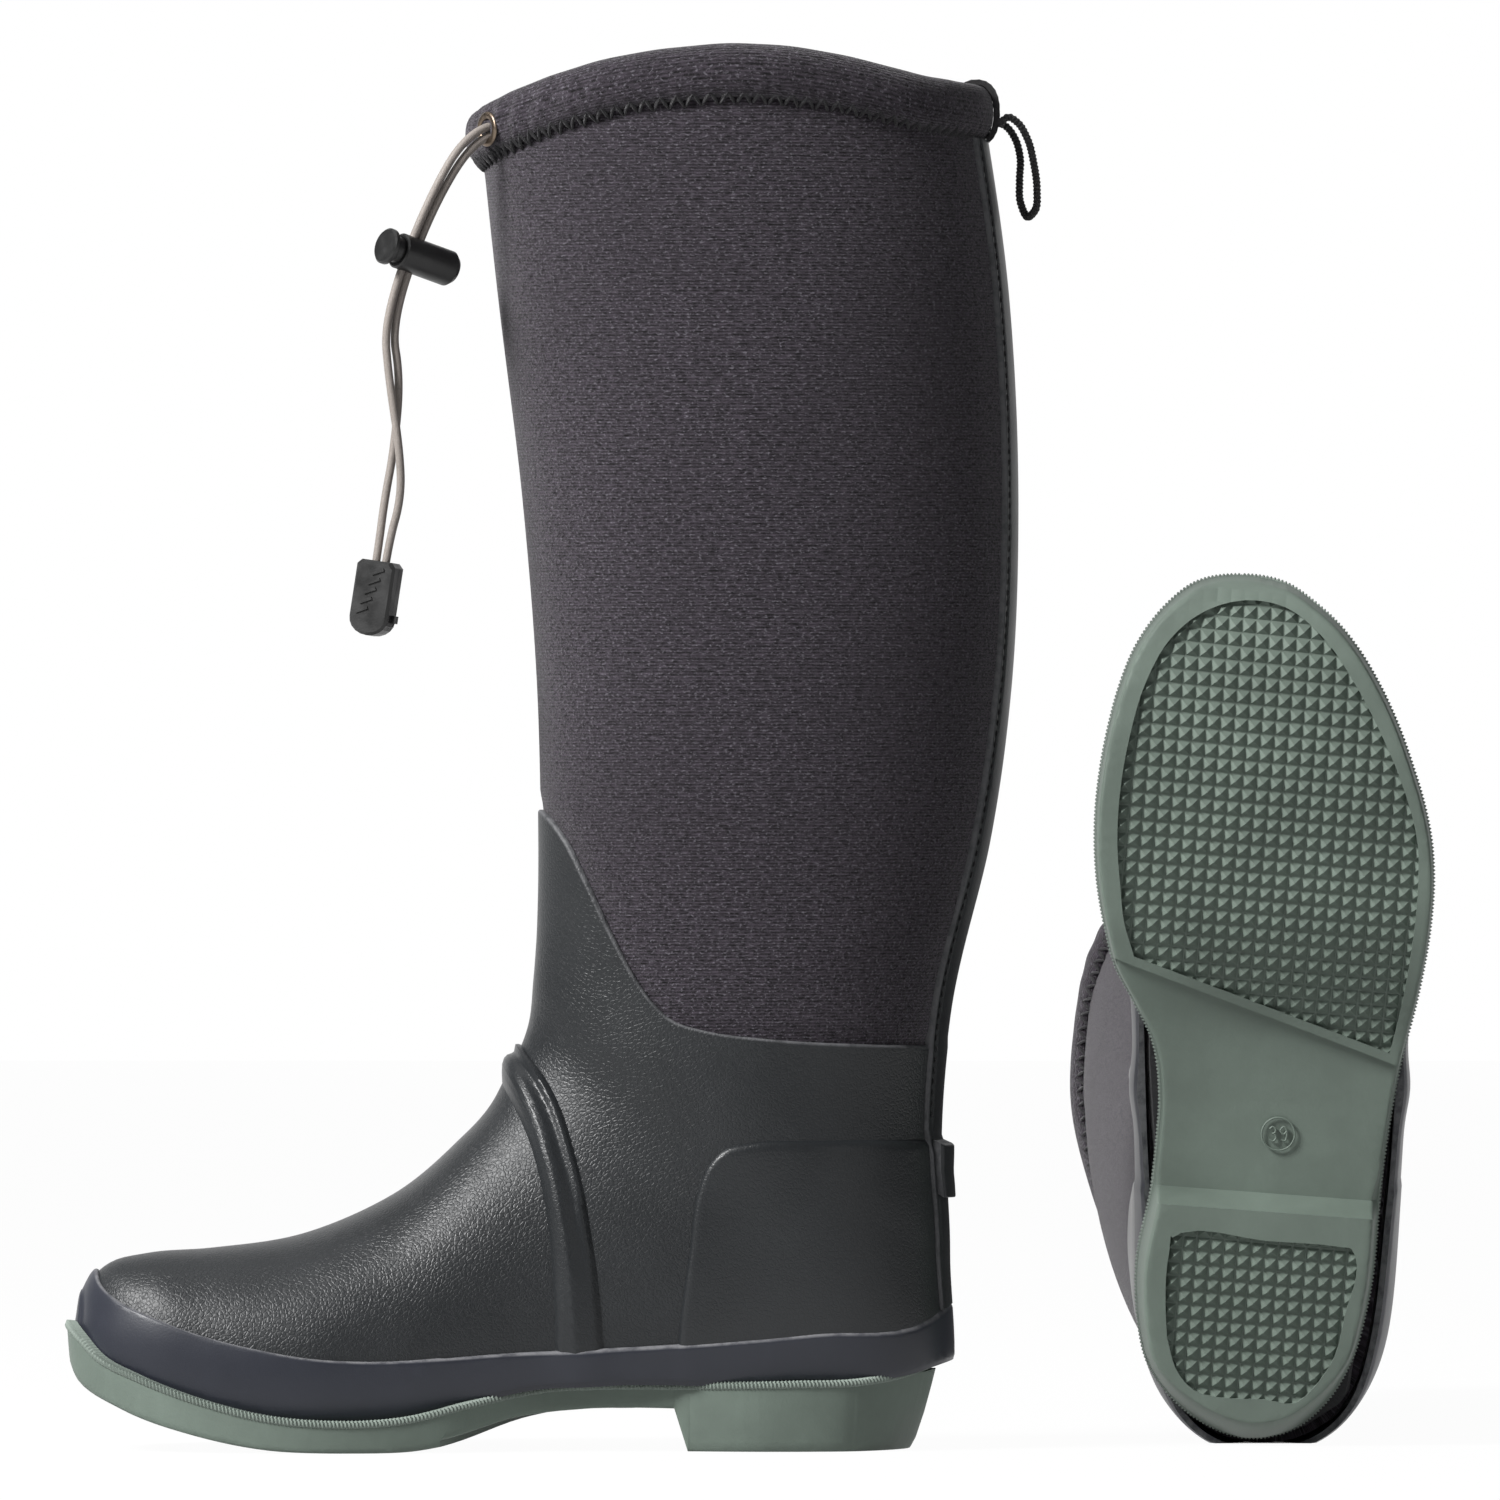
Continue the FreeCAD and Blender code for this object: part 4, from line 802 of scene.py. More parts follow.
def finish(name):
    """The named material, made once."""
    if name not in FINISHES:
        c = look()
        FINISHES[name] = {
            "knit": knit_finish,
            "upper": lambda: rubber_finish("upper_rubber", c.upper, 1.0, 0.36, 0.55),
            "band": lambda: rubber_finish("band_rubber", c.upper, 0.5, 0.3),
            "foxing": lambda: rubber_finish("foxing_rubber", shade(c.foxing, 1.25), 0.12, 0.33, 0.95),
            "stay": lambda: rubber_finish("stay_rubber", c.upper, 0.35, 0.42, 0.5),
            "sole": sole_finish,
            "welt": lambda: rubber_finish("welt_rubber", c.welt, 0.1, 0.55),
            "elastic": elastic_finish,
            "webbing": lambda: braid_finish("webbing", c.webbing, 0.0011, 0.6),
            "thread": lambda: braid_finish("thread", c.thread, 0.0005, 0.4),
            "plastic": plastic_finish,
            "eyelet": lambda: metal_finish("eyelet_bronze", c.eyelet, 0.28),
            "steel": lambda: metal_finish("steel", (0.55, 0.55, 0.56), 0.3),
            "insole": lambda: foam_finish("insole_cloth", (0.03, 0.03, 0.034)),
            "board": lambda: foam_finish("board", (0.03, 0.03, 0.032)),
        }[name]()
    return FINISHES[name]


def collar_axis(turn, straight=False):
    """Centre of the collar's roll at a turn, with its outward and upward directions."""
    def centre(t):
        def skin(position):
            if straight:
                low = min(int(position), len(SECTIONS) - 2)
                a, b = surface(low, t, COLLAR_CENTRE), surface(low + 1, t, COLLAR_CENTRE)
                part = position - low
                return Vector([float(p) * (1 - part) + float(q) * part for p, q in zip(a, b)])
            return Vector([float(v) for v in surface(position, t, COLLAR_CENTRE)])
        x = sum(float(surface(row, t)[0]) for row in (COLLAR_ROW, COLLAR_ROW + 1)) / 2
        z = float(rim_height(x)) - COLLAR_DEPTH / 2
        low, high = SECTIONS[COLLAR_ROW][1], SECTIONS[COLLAR_ROW + 1][1]
        return skin(COLLAR_ROW + (z - low) / (high - low))
    p = centre(turn)
    ahead = (centre(turn + 0.02) - centre(turn - 0.02)).normalized()
    up = Vector((0, 0, 1))
    out = ahead.cross(up).normalized()
    if out.dot(p - Vector((LEG_AXIS_X, 0, p.z))) < 0:
        out = -out
    return p, out, up


def lay_on(origin, z_axis, x_hint):
    z = z_axis.normalized()
    x = (x_hint - z * x_hint.dot(z)).normalized()
    y = z.cross(x)
    return Matrix(((x.x, y.x, z.x, origin.x), (x.y, y.y, z.y, origin.y), (x.z, y.z, z.z, origin.z), (0, 0, 0, 1)))


def line_x(line, z):
    """The x of a line of (x, z) points that falls with z."""
    for (x0, z0), (x1, z1) in zip(line, line[1:]):
        if z1 <= z <= z0:
            return x0 + (x1 - x0) * (z0 - z) / (z0 - z1)
    return line[0][0] if z > line[0][1] else line[-1][0]


def hanging_cords(eye, out):
    """The standing boot's cord ends: the lock, the two strands and the clip, in the boot's frame."""
    up = Vector((0, 0, 1))
    lock = Vector((-168.8, -30, 373.7))
    way = Vector((-0.33, 0, -0.944)).normalized()
    axis = Vector((0.77, 0.57, -0.27))
    axis = (axis - way * axis.dot(way)).normalized()
    clip_up = Vector((0.15, 0, 0.989)).normalized()
    clip_side = Vector((0.93, -0.36, 0))
    clip_side = (clip_side - clip_up * clip_side.dot(clip_up)).normalized()
    clip = Vector((-179.8, -30.5, 266.3))
    mouth = clip + clip_up * (CLIP_LENGTH / 2)
    half = (CORD + STRAND_GAP) / 2
    strands = []
    for sign, reach, waves in ((-1, 11.6, [(-175.6, -31.6, 335), (-172.2, -33.2, 313), (-171.6, -32.6, 298)]),
                               (1, 9.3, [(-172.0, -29.4, 335), (-174.0, -28.6, 313), (-177.0, -29.2, 297)])):
        side = axis * (sign * half)
        well = clip_side * (-sign * CLIP_WELL)
        route = [eye + out * 0.3 - up * (sign * half), eye + out * reach - up * (sign * half),
                 lock - way * 14 + side, lock + way * (LOCK_SLIDE + 16) + side]
        route += [Vector(p) for p in waves]
        route += [mouth + clip_up * 6 + well, mouth - clip_up * 7.4 + well]
        strands.append(route)
    return strands, (lock, axis, way), (clip, clip_up, clip_side)


def resting_cords(eye, out):
    """The lying boot's cord ends, which rest along the top of its shaft, in the left boot's frame."""
    up = Vector((0, 0, 1))

    def crest(z):
        return line_x([(row[0], row[1]) for row in SECTIONS[::-1]][:6], z) + 1.7
    lock = Vector((crest(352) - LOCK_LIFT - LOCK_OUTER / 2, 3.5, 352))
    way = Vector((crest(336) - crest(356), 0, -20)).normalized()
    axis = Vector((0, -1, 0))
    clip = Vector((crest(246) - CLIP_DEPTH / 2 - 0.4, 3.5, 246))
    clip_up = Vector((crest(258) - crest(238), 0, 20)).normalized()
    clip_side = Vector((0, -1, 0))
    mouth = clip + clip_up * (CLIP_LENGTH / 2)
    half = (CORD + STRAND_GAP) / 2
    lift = CORD / 2 + 0.5
    across = up.cross(out)
    # The strands run down and sideways to the lock, so they part at right angles to that way
    slant = Vector((0, 0.72, -0.69))
    strands = []
    for sign, ys in ((-1, (10.0, 8.5)), (1, (-3.0, -2.0))):
        side = axis * (sign * half)
        well = clip_side * (sign * CLIP_WELL)
        bow = (out * 0.5 - up * 0.87) * 13
        apart = across * (sign * half)
        route = [eye + out * 0.3 + apart, eye + out * 11 + apart, eye + out * 11 + apart + bow,
                 Vector((-156, 20, 383)) + slant * (-sign * half * 1.4),
                 lock - way * 14 + side, lock + way * (LOCK_SLIDE + 16) + side]
        route += [Vector((crest(z) - lift, y, z)) for z, y in zip((306, 284), ys)]
        route += [mouth + clip_up * 7 + well, mouth - clip_up * 7.4 + well]
        strands.append(route)
    return strands, (lock, axis, way), (clip, clip_up, clip_side)


def eyelet_place():
    """Centre of the eyelet, with its outward and upward directions."""
    eye, out, up = collar_axis(EYELET_TURN, straight=True)
    return eye - up * 1.5, out, up


def cord_data():
    """Each side's cord set and the place function of the frame that it is given in."""
    eye, out, _ = eyelet_place()
    mirror = Vector((1, -1, 1))
    return {"right": (*hanging_cords(eye, out), on_standing),
            "left": (*resting_cords(eye * mirror, out * mirror), from_left)}


def rope(name, points, diameter, finish_name):
    """A cord on one smooth spline that has the route's points as its control points."""
    curve = bpy.data.curves.new(name, "CURVE")
    curve.dimensions = "3D"
    curve.bevel_depth = diameter / 2
    curve.bevel_resolution = 5
    curve.resolution_u = 16
    curve.use_fill_caps = True
    spline = curve.splines.new("NURBS")
    spline.points.add(len(points) - 1)
    for point, place in zip(spline.points, points):
        point.co = (*place, 1.0)
    spline.order_u = 3
    spline.use_endpoint_u = True
    curve.materials.append(finish(finish_name))
    piece = bpy.data.objects.new(name, curve)
    bpy.context.scene.collection.objects.link(piece)
    return piece


class BootSizes(bpy.types.PropertyGroup):
    """Sizes of the dressing that a maker would change."""
    rib_pitch: FloatProperty(name="Knit rib", description="Distance between two ribs of the knit",
                             default=0.00098, unit="LENGTH")
    stitch_pitch: FloatProperty(name="Zigzag stitch",
                                description="Distance between two points of the collar's zigzag",
                                default=0.003, unit="LENGTH")
    welt_pitch: FloatProperty(name="Welt tooth", description="Distance between two teeth of the sole's welt",
                              default=0.0012, unit="LENGTH")
    cord_width: FloatProperty(name="Cord", description="Diameter of the elastic cord",
                              default=0.0026, unit="LENGTH")
    braid_rib: FloatProperty(name="Braid rib", description="Distance between two ribs of the pull loop",
                             default=0.0012, unit="LENGTH")
    shoe_size: IntProperty(name="Size", description="Number moulded under the arch", default=39)


def colour_property(name, description, default):
    return FloatVectorProperty(name=name, description=description, default=default, size=3, subtype="COLOR",
                               min=0.0, max=1.0)


class BootLook(bpy.types.PropertyGroup):
    """Colours of the finishes."""
    upper: colour_property("Upper rubber", "Moulded rubber of the foot and ankle", (0.020, 0.022, 0.024))
    foxing: colour_property("Foxing rubber", "Smooth strip round the foot", (0.020, 0.022, 0.030))
    wear: colour_property("Worn edge", "Dusty cut edge of the rubber", (0.20, 0.20, 0.21))
    knit: colour_property("Knit", "Face of the neoprene", (0.034, 0.028, 0.036))
    fleck: colour_property("Knit fleck", "Pale fibres in the knit", (0.13, 0.12, 0.14))
    sole: colour_property("Sole rubber", "Grey-green outsole", (0.155, 0.195, 0.165))
    # Lighter than the sole's rubber: partly wear on the welt's top, partly a painted highlight.
    welt: colour_property("Welt rubber", "Toothed edge of the outsole", (0.21, 0.25, 0.22))
    elastic: colour_property("Elastic cord", "Taupe braid of the drawcord", (0.30, 0.265, 0.24))
    webbing: colour_property("Webbing", "Black tape of the pull loop", (0.030, 0.028, 0.030))
    thread: colour_property("Thread", "Sewing thread", (0.020, 0.018, 0.022))
    plastic: colour_property("Hardware", "Black plastic of the lock and clips", (0.012, 0.012, 0.012))
    eyelet: colour_property("Eyelet", "Dark bronze of the eyelet", (0.22, 0.17, 0.13))


class BOOTS_OT_stage(bpy.types.Operator):
    """Camera at the photograph's viewing angle, plain floor and backdrop, and soft lamps"""
    bl_idname = "boots.stage"
    bl_label = "Stage"

    def execute(self, context):
        scene = context.scene
        scene.view_settings.view_transform = "Standard"
        camera = bpy.data.cameras.new("camera")
        camera.lens = 442.7
        camera.sensor_width = 36.0
        camera.clip_end = 60.0
        view = bpy.data.objects.new("camera", camera)
        view.location = (-0.0003, -6.0, 0.2190)
        view.rotation_euler = (HALF_TURN / 2, 0, 0)
        scene.collection.objects.link(view)
        scene.camera = view
        white = Finish("backdrop")
        rays = [white.node("ShaderNodeLightPath", out=name)
                for name in ("Is Camera Ray", "Is Glossy Ray", "Is Transmission Ray")]
        seen = white.maths("MINIMUM", rays[0] + rays[1] + rays[2], 1.0)
        diffuse = white.node("ShaderNodeBsdfDiffuse", None, {"Color": (0.42, 0.42, 0.42, 1)})
        glow = white.node("ShaderNodeEmission", None, {"Color": (1, 1, 1, 1), "Strength": 1.04})
        self.surface(white, seen * 0.93, diffuse, glow)
        far = Finish("far_backdrop")
        self.surface(far, 1.0, far.node("ShaderNodeBsdfDiffuse"), far.node("ShaderNodeEmission"))
        size = 7.0
        floor = self.sheet("floor", [(-size, -size, 0), (size, -size, 0), (size, size, 0), (-size, size, 0)],
                           white.material)
        wall = self.sheet("backdrop", [(-size, size, -2), (size, size, -2), (size, size, 6), (-size, size, 6)],
                          far.material)
        for name, place, aim, power, width in (
                ("key_lamp", (-1.62, -1.25, 1.72), (0, -0.1, 0.18), 98, 0.75),
                ("fill_lamp", (1.7, -1.9, 1.0), (0, -0.1, 0.2), 3, 1.3),
                ("top_lamp", (-0.2, 0.3, 2.3), (0, -0.1, 0.1), 6, 1.4)):
            lamp = bpy.data.lights.new(name, "AREA")
            lamp.energy, lamp.size = power, width
            item = bpy.data.objects.new(name, lamp)
            item.location = place
            item.rotation_euler = (Vector(aim) - Vector(place)).to_track_quat("-Z", "Y").to_euler()
            scene.collection.objects.link(item)
        world = bpy.data.worlds.new("studio")
        world.use_nodes = True
        world.node_tree.nodes["Background"].inputs[0].default_value = (0.95, 0.97, 1.0, 1)
        world.node_tree.nodes["Background"].inputs[1].default_value = 0.13
        scene.world = world
        return {"FINISHED"}

    @staticmethod
    def surface(finish, share, first, last):
        mixed = finish.node("ShaderNodeMixShader", None, {0: share, 1: first, 2: last})
        finish.node("ShaderNodeOutputMaterial", None, {"Surface": mixed})

    @staticmethod
    def sheet(name, corners, material):
        mesh = bpy.data.meshes.new(name)
        mesh.from_pydata(corners, [], [(0, 1, 2, 3)])
        mesh.materials.append(material)
        item = bpy.data.objects.new(name, mesh)
        bpy.context.scene.collection.objects.link(item)
        return item


class BOOTS_OT_cords(bpy.types.Operator):
    """Elastic cord ends of both boots"""
    bl_idname = "boots.cords"
    bl_label = "Cord ends"

    def execute(self, context):
        for side, (strands, lock, clip, spot) in cord_data().items():
            for label, route in zip("ab", strands):
                points = [spot(p) for p in route]
                piece = rope(f"{side}_cord_end_{label}", points, sizes().cord_width, "elastic")
                settle(piece, [f"{side}_strand_{label}"], "boots")
                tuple(points[0])
                "hanging" if side == "right" else "loose"
        return {"FINISHED"}


class BOOTS_OT_knit_leg(bpy.types.Operator):
    """Knit-faced neoprene sock that makes the leg"""
    bl_idname = "boots.knit_leg"
    bl_label = "Knit leg"

    def execute(self, context):
        patch = Patch(0.3, 17, 3.0, 120)
        patch.cut(lambda x, y, z: seam_drop(x, y, z) + 1.5)
        patch.cut(sole_top, 2.4)
        patch.bevels(seam_drop, (2, 5))
        patch.bevels(rubber_top, (0.4, 2, 4))

        def outer(x, y, z, turn):
            near = seam_drop(x, y, z)
            pucker = np.cos(turn * LEG_RADIUS / (sizes().stitch_pitch / MM)) * 0.35 * np.exp(-(near / 2.4) ** 2)
            swell = 0.9 * ease(rubber_top(x, y, z) / 6)
            fold = 0.5 * np.exp(-((z - 150 - (x + 60) * 0.25) / 9) ** 2) * ease((x + 100) / 40)
            return -1.7 + swell + pucker + fold * ease((z - 134) / 10)
        both("knit_leg", patch.build(outer, -4.6), finish("knit"), "neoprene_sock")
        return {"FINISHED"}


class BOOTS_OT_upper(bpy.types.Operator):
    """Rubber foot, ankle and instep band"""
    bl_idname = "boots.upper"
    bl_label = "Rubber upper"

    def execute(self, context):
        def lip(x, y, z, turn):
            return -0.7 + 0.7 * round_over(-rubber_top(x, y, z), 0.9)
        for name, first, last, sign, node in (("foot", 0, 9.8, -1, "vamp"), ("ankle", 6, 15, 1, "rubber_leg")):
            patch = Patch(first, last, 2.4, 128)
            patch.cut(foxing_top, -2.5)
            if sign > 0:
                patch.cut(reverse(rubber_top))
                patch.bevels(rubber_top, (-0.25, -0.55, -0.9, -2))
                patch.cut(band_front, 6.0)
            else:
                patch.cut(reverse(band_front), -8.0)
            made = patch.build(lip if sign > 0 else 0.0, -1.4, lambda x, y, z: np.abs(rubber_top(x, y, z)))
            both(name, made, finish("upper"), node, 50)
        return {"FINISHED"}


class BOOTS_OT_band(bpy.types.Operator):
    """Raised rib over the instep"""
    bl_idname = "boots.band"
    bl_label = "Instep band"

    def execute(self, context):
        patch = Patch(5.5, 10.5, 1.7, 150)
        patch.cut(band_front, -0.4)
        patch.cut(reverse(band_back), -0.4)
        patch.cut(foxing_top, -2.5)
        profile = [(0.0, -0.25), (0.06, 0.1), (0.16, 0.55), (0.28, 0.9), (0.4, 1.0), (0.52, 0.86), (0.63, 0.55),
                   (0.71, 0.40), (0.79, 0.5), (0.86, 0.56), (0.93, 0.28), (1.0, -0.25)]
        for share, _ in profile[1:-1]:
            patch.cut(lambda x, y, z: band_front(x, y, z) * (1 - share) + band_back(x, y, z) * share, 0.0, True)

        def outer(x, y, z, turn):
            front, back = band_front(x, y, z), -band_back(x, y, z)
            share = np.clip(front / (front + back + 1e-6), 0, 1)
            high = np.interp(share, [p[0] for p in profile], [p[1] for p in profile])
            low_front = np.interp(share, [0, 0.1, 0.4, 0.8, 1], [-0.25, 0.5, 1.0, 0.5, -0.25])
            fade = ease((z - 45) / 50)
            return BAND_HEIGHT * (high * fade + low_front * (1 - fade) * 0.9)
        both("instep_rib", patch.build(outer, -0.5), finish("band"), "instep_band", 60)
        return {"FINISHED"}


class BOOTS_OT_foxing(bpy.types.Operator):
    """Smooth strip round the foot above the sole"""
    bl_idname = "boots.foxing"
    bl_label = "Foxing"

    def execute(self, context):
        patch = Patch(-1, 11, 2.2, 150)
        patch.cut(reverse(foxing_top))
        patch.bevels(foxing_top, (-0.3, -0.7, -1.2, -2))
        patch.cut(sole_top, 0.1)
        patch.bevels(sole_top, (0.8, 1.8))

        def outer(x, y, z, turn):
            edge = round_over(-foxing_top(x, y, z), 1.1)
            over_band = 1.5 * np.exp(-((x + 115.5) / 9) ** 2) * ease(z / 30)
            heel = 0.45 * ease(x + 85.6)
            foot = -0.5 * (1 - ease(sole_top(x, y, z) / 2))
            edge *= 1 - 0.62 * ease((-252 - x) / 16) * ease((z - 30) / 14)
            return 0.3 + 1.9 * edge + (over_band + heel) * edge + foot
        made = patch.build(outer, 0.05, lambda x, y, z: np.abs(foxing_top(x, y, z)))
        both("foxing_strip", made, finish("foxing"), "foxing", 50)
        return {"FINISHED"}


class BOOTS_OT_heel(bpy.types.Operator):
    """Heel counter, back stay and spur rest"""
    bl_idname = "boots.heel"
    bl_label = "Heel pieces"

    def execute(self, context):
        patch = Patch(6.5, 13, 1.9, 150)
        patch.cut(reverse(counter_edge), -0.3)
        patch.cut(foxing_top, -2.5)
        patch.bevels(counter_edge, (-0.4, -0.9, -1.5, -2.2, -3.2))

        def counter(x, y, z, turn):
            gap = -counter_edge(x, y, z)
            return -0.25 + 1.9 * round_over(gap + 0.3, 3.0) - 0.15 * ease((gap - 4) / 10)
        both("counter", patch.build(counter, -0.3), finish("band"), "heel_counter", 60)

        def within(half):
            return lambda x, y, z: half - np.abs(y)
        stay_gap = within(15.0)
        stay = Patch(8.5, 17, 2.4, 64, (0.68 * HALF_TURN, 1.32 * HALF_TURN))
        stay.cut(stay_gap)
        stay.cut(foxing_top, 0.2)
        stay.cut(seam_drop, 0.2)
        stay.bevels(stay_gap, (0.35, 0.9, 1.5, 2.1, 3.2, 4.0))

        def strip(x, y, z, turn):
            gap = stay_gap(x, y, z)
            edge = round_over(gap, 0.8)
            groove = -0.45 * np.exp(-((gap - 2.1) / 0.5) ** 2)
            under = 1.55 * ease((98.5 - z) / 3)
            step = 0.7 * ease((127.5 - z) / 1.5)
            return -0.4 + edge * 1.2 + groove + under + step * 0.5
        made = stay.build(strip, -1.6, stay_gap)
        both("stay", made, finish("stay"), "back_stay", 50)

        spur = Patch(9, 12.5, 1.2, 40, (0.75 * HALF_TURN, 1.25 * HALF_TURN))
        fields = within(13.0), lambda x, y, z: z - 81.0, lambda x, y, z: 97.6 - z
        for field in fields:
            spur.cut(field)
        for field in fields:
            spur.bevels(field, (0.25, 0.6, 1.1))

        def rest(x, y, z, turn):
            gap = np.minimum.reduce([field(x, y, z) for field in fields])
            return 4.6 + 0.9 * round_over(gap, 0.8) - 0.25 * np.exp(-((z - 89.3) / 3) ** 2)
        both("spur_block", spur.build(rest, 1.8), finish("stay"), "spur_rest", 50)
        return {"FINISHED"}


class BOOTS_OT_stitching(bpy.types.Operator):
    """Rows of stitches along the back stay and the zigzag under the collar"""
    bl_idname = "boots.stitching"
    bl_label = "Stitching"

    def execute(self, context):
        rows = Build()
        for sign in (-1, 1):
            z = 104.0
            while z < 408:
                ends = [self.on_stay(z + d, sign, 0.0 if d in (0.25, 1.95) else 0.28) for d in (0.25, 0.6, 1.6, 1.95)]
                rows.sweep(ends, circle(0.26, 6))
                z += 3.4
        both("stay_stitches", rows, finish("thread"))

        zigzag = Build()
        steps = int(300 / (sizes().stitch_pitch / MM)) * 2
        path = []
        for k in range(steps):
            turn = -HALF_TURN + 2 * HALF_TURN * k / steps
            p, out, up = collar_axis(turn)
            high = k % 2
            reach = 3.2 if high else 0.1
            path.append(p + out * reach - up * (COLLAR_DEPTH / 2 + (-2.0 if high else 2.0)))
        fine = []
        for k, a in enumerate(path):
            b = path[(k + 1) % len(path)]
            bow = (a + b) / 2 + (a - Vector((LEG_AXIS_X, 0, a.z))).normalized() * 0.5
            fine += [a, a.lerp(bow, 0.7), b.lerp(bow, 0.7)]
        zigzag.sweep(fine, circle(0.6, 6), closed=True)
        both("zigzag", zigzag, finish("thread"))
        return {"FINISHED"}

    @staticmethod
    def on_stay(z, sign, lift):
        """The point of the stay's stitch groove at a height."""
        low, high = 9.0, 17.0
        turn = HALF_TURN - sign * 0.3
        for _ in range(30):
            middle = (low + high) / 2
            for _ in range(3):
                x, y, zz = (float(v) for v in surface(middle, turn, 0.3))
                turn += (y - sign * 12.9) * 0.018
            if zz < z:
                low = middle
            else:
                high = middle
        x, y, zz = (float(v) for v in surface(middle, turn, 0.55 + lift + (0.35 if z < 127 else 0)))
        return Vector((x, y, zz))


class BOOTS_OT_collar(bpy.types.Operator):
    """Padded tunnel round the top of the leg"""
    bl_idname = "boots.collar"
    bl_label = "Collar"

    def execute(self, context):
        count, sides = 400, 28
        made = Build()
        points, skin = [], []
        pitch = sizes().stitch_pitch / MM
        for k in range(count):
            turn = 2 * HALF_TURN * k / count
            p, out, up = collar_axis(turn)
            arc = turn * LEG_RADIUS
            from_eye = (turn - EYELET_TURN + HALF_TURN) % (2 * HALF_TURN) - HALF_TURN
            gather = np.exp(-(from_eye * LEG_RADIUS / 26) ** 2)
            for q in range(sides):
                a = 2 * HALF_TURN * q / sides
                c, s = math.cos(a), math.sin(a)
                under = math.exp(-((s + 1) / 0.45) ** 2) * (1 if c > -0.2 else 0)
                puff = 0.55 * under * math.cos(2 * HALF_TURN * arc / pitch)
                wave = 0.35 * math.sin(arc * 0.21 + 1.3) * max(c, 0) + 0.2 * math.sin(arc * 0.53) * max(s, 0)
                fold = 0.9 * gather * math.sin(arc * 0.95 + s * 1.6) * max(c, 0.0)
                across = rounded(c, 2 / 2.3) * (COLLAR_HALF + puff + wave + fold * 0.6)
                rise = rounded(s, 2 / 2.3) * (COLLAR_DEPTH / 2 + 0.3 * wave)
                points.append(p + out * across + up * rise)
                skin.append((turn * 0.046, (a if a < 1.5 * HALF_TURN else a - 2 * HALF_TURN) * 0.0072 + 0.4))
        faces, maps = [], []
        for k in range(count):
            for q in range(sides):
                r, n = (q + 1) % sides, (k + 1) % count
                corners = ((k, q), (k, r), (n, r), (n, q))
                faces.append([i * sides + j for i, j in corners])
                own = []
                for i, j in corners:
                    u, v = skin[i * sides + j]
                    if n == 0 and i == 0:
                        u = 2 * HALF_TURN * 0.046
                    own.append((u, v))
                if q == 3 * sides // 4 - 1:
                    own = [(u, own[0][1] if j == q else own[0][1] + 0.0016) for (u, v), (i, j) in zip(own, corners)]
                maps.append(own)
        made.add(points, faces, maps)
        both("tunnel_collar", made, finish("knit"), "collar", 80)
        return {"FINISHED"}


class BOOTS_OT_eyelet(bpy.types.Operator):
    """Metal eyelet that the cord comes out of, and the cord inside the tunnel"""
    bl_idname = "boots.eyelet"
    bl_label = "Eyelet"

    def execute(self, context):
        eye, out, up = eyelet_place()
        ring = Build()
        seat = COLLAR_HALF + 0.1
        profile = [(3.0, 1.4), (3.7, 1.4), (3.7, seat), (5.4, seat), (5.5, seat + 0.12), (5.5, seat + 0.3)]
        profile += [(4.35 + 1.15 * math.cos(a), seat + 0.3 + 0.65 * math.sin(a))
                    for a in (HALF_TURN * k / 10 for k in range(11))]
        profile += [(3.0, seat - 0.3), (3.0, 1.4)]
        ring.lathe(lay_on(eye, out, up), profile)
        both("eyelet_ring", ring, finish("eyelet"), "eyelet", 50)
        inner = []
        for k in range(27):
            turn = EYELET_TURN + math.radians(7 + 346 * k / 26)
            inner.append(collar_axis(turn)[0])
        for side, spot in PLACES.items():
            piece = rope(f"{side}_cord_in_tunnel", [spot(p) for p in inner], sizes().cord_width, "elastic")
            settle(piece, [f"{side}_tunnel_cord"], "boots")
        return {"FINISHED"}


def loop_route(side):
    """The pull loop's points in its own boot's frame."""
    root, z = LOOP_ROOT_X, LOOP_ROOT_Z
    if side == "right":
        return [(root, -2.4, z), (root + 2.4, -2.6, z + 1.6), (root + 5.2, -2.8, 416),
                (root + 8.3, -2.9, 411), (root + 10.4, -2.9, 403), (root + 11.4, -2.6, 394.5),
                (root + 10.8, -1.2, 388.4), (root + 8.6, 0.6, 386.4), (root + 6.4, 2.2, 390.5),
                (root + 6.0, 2.8, 398), (root + 6.2, 2.9, 405), (root + 4.6, 2.8, 411),
                (root + 2.2, 2.6, 414.5), (root, 2.4, z)]

    def floor_x(height):
        return (height * math.sin(TILT) + LYING[2]) / math.cos(TILT) - 1.6
    return [(root, -2.4, z), (root + 2.8, -2.6, z + 2), (root + 6.6, -2.8, 424),
            (root + 11, -3.0, 433), (floor_x(444), -3.2, 444), (floor_x(454), -2.6, 454),
            (floor_x(459), -0.6, 458.5), (floor_x(459), 1.6, 458), (floor_x(453), 3.2, 452.5),
            (floor_x(443.5), 3.4, 443), (root + 10.4, 3.1, 432), (root + 5.8, 2.8, 423),
            (root + 2.2, 2.6, z + 2.4), (root, 2.4, z)]


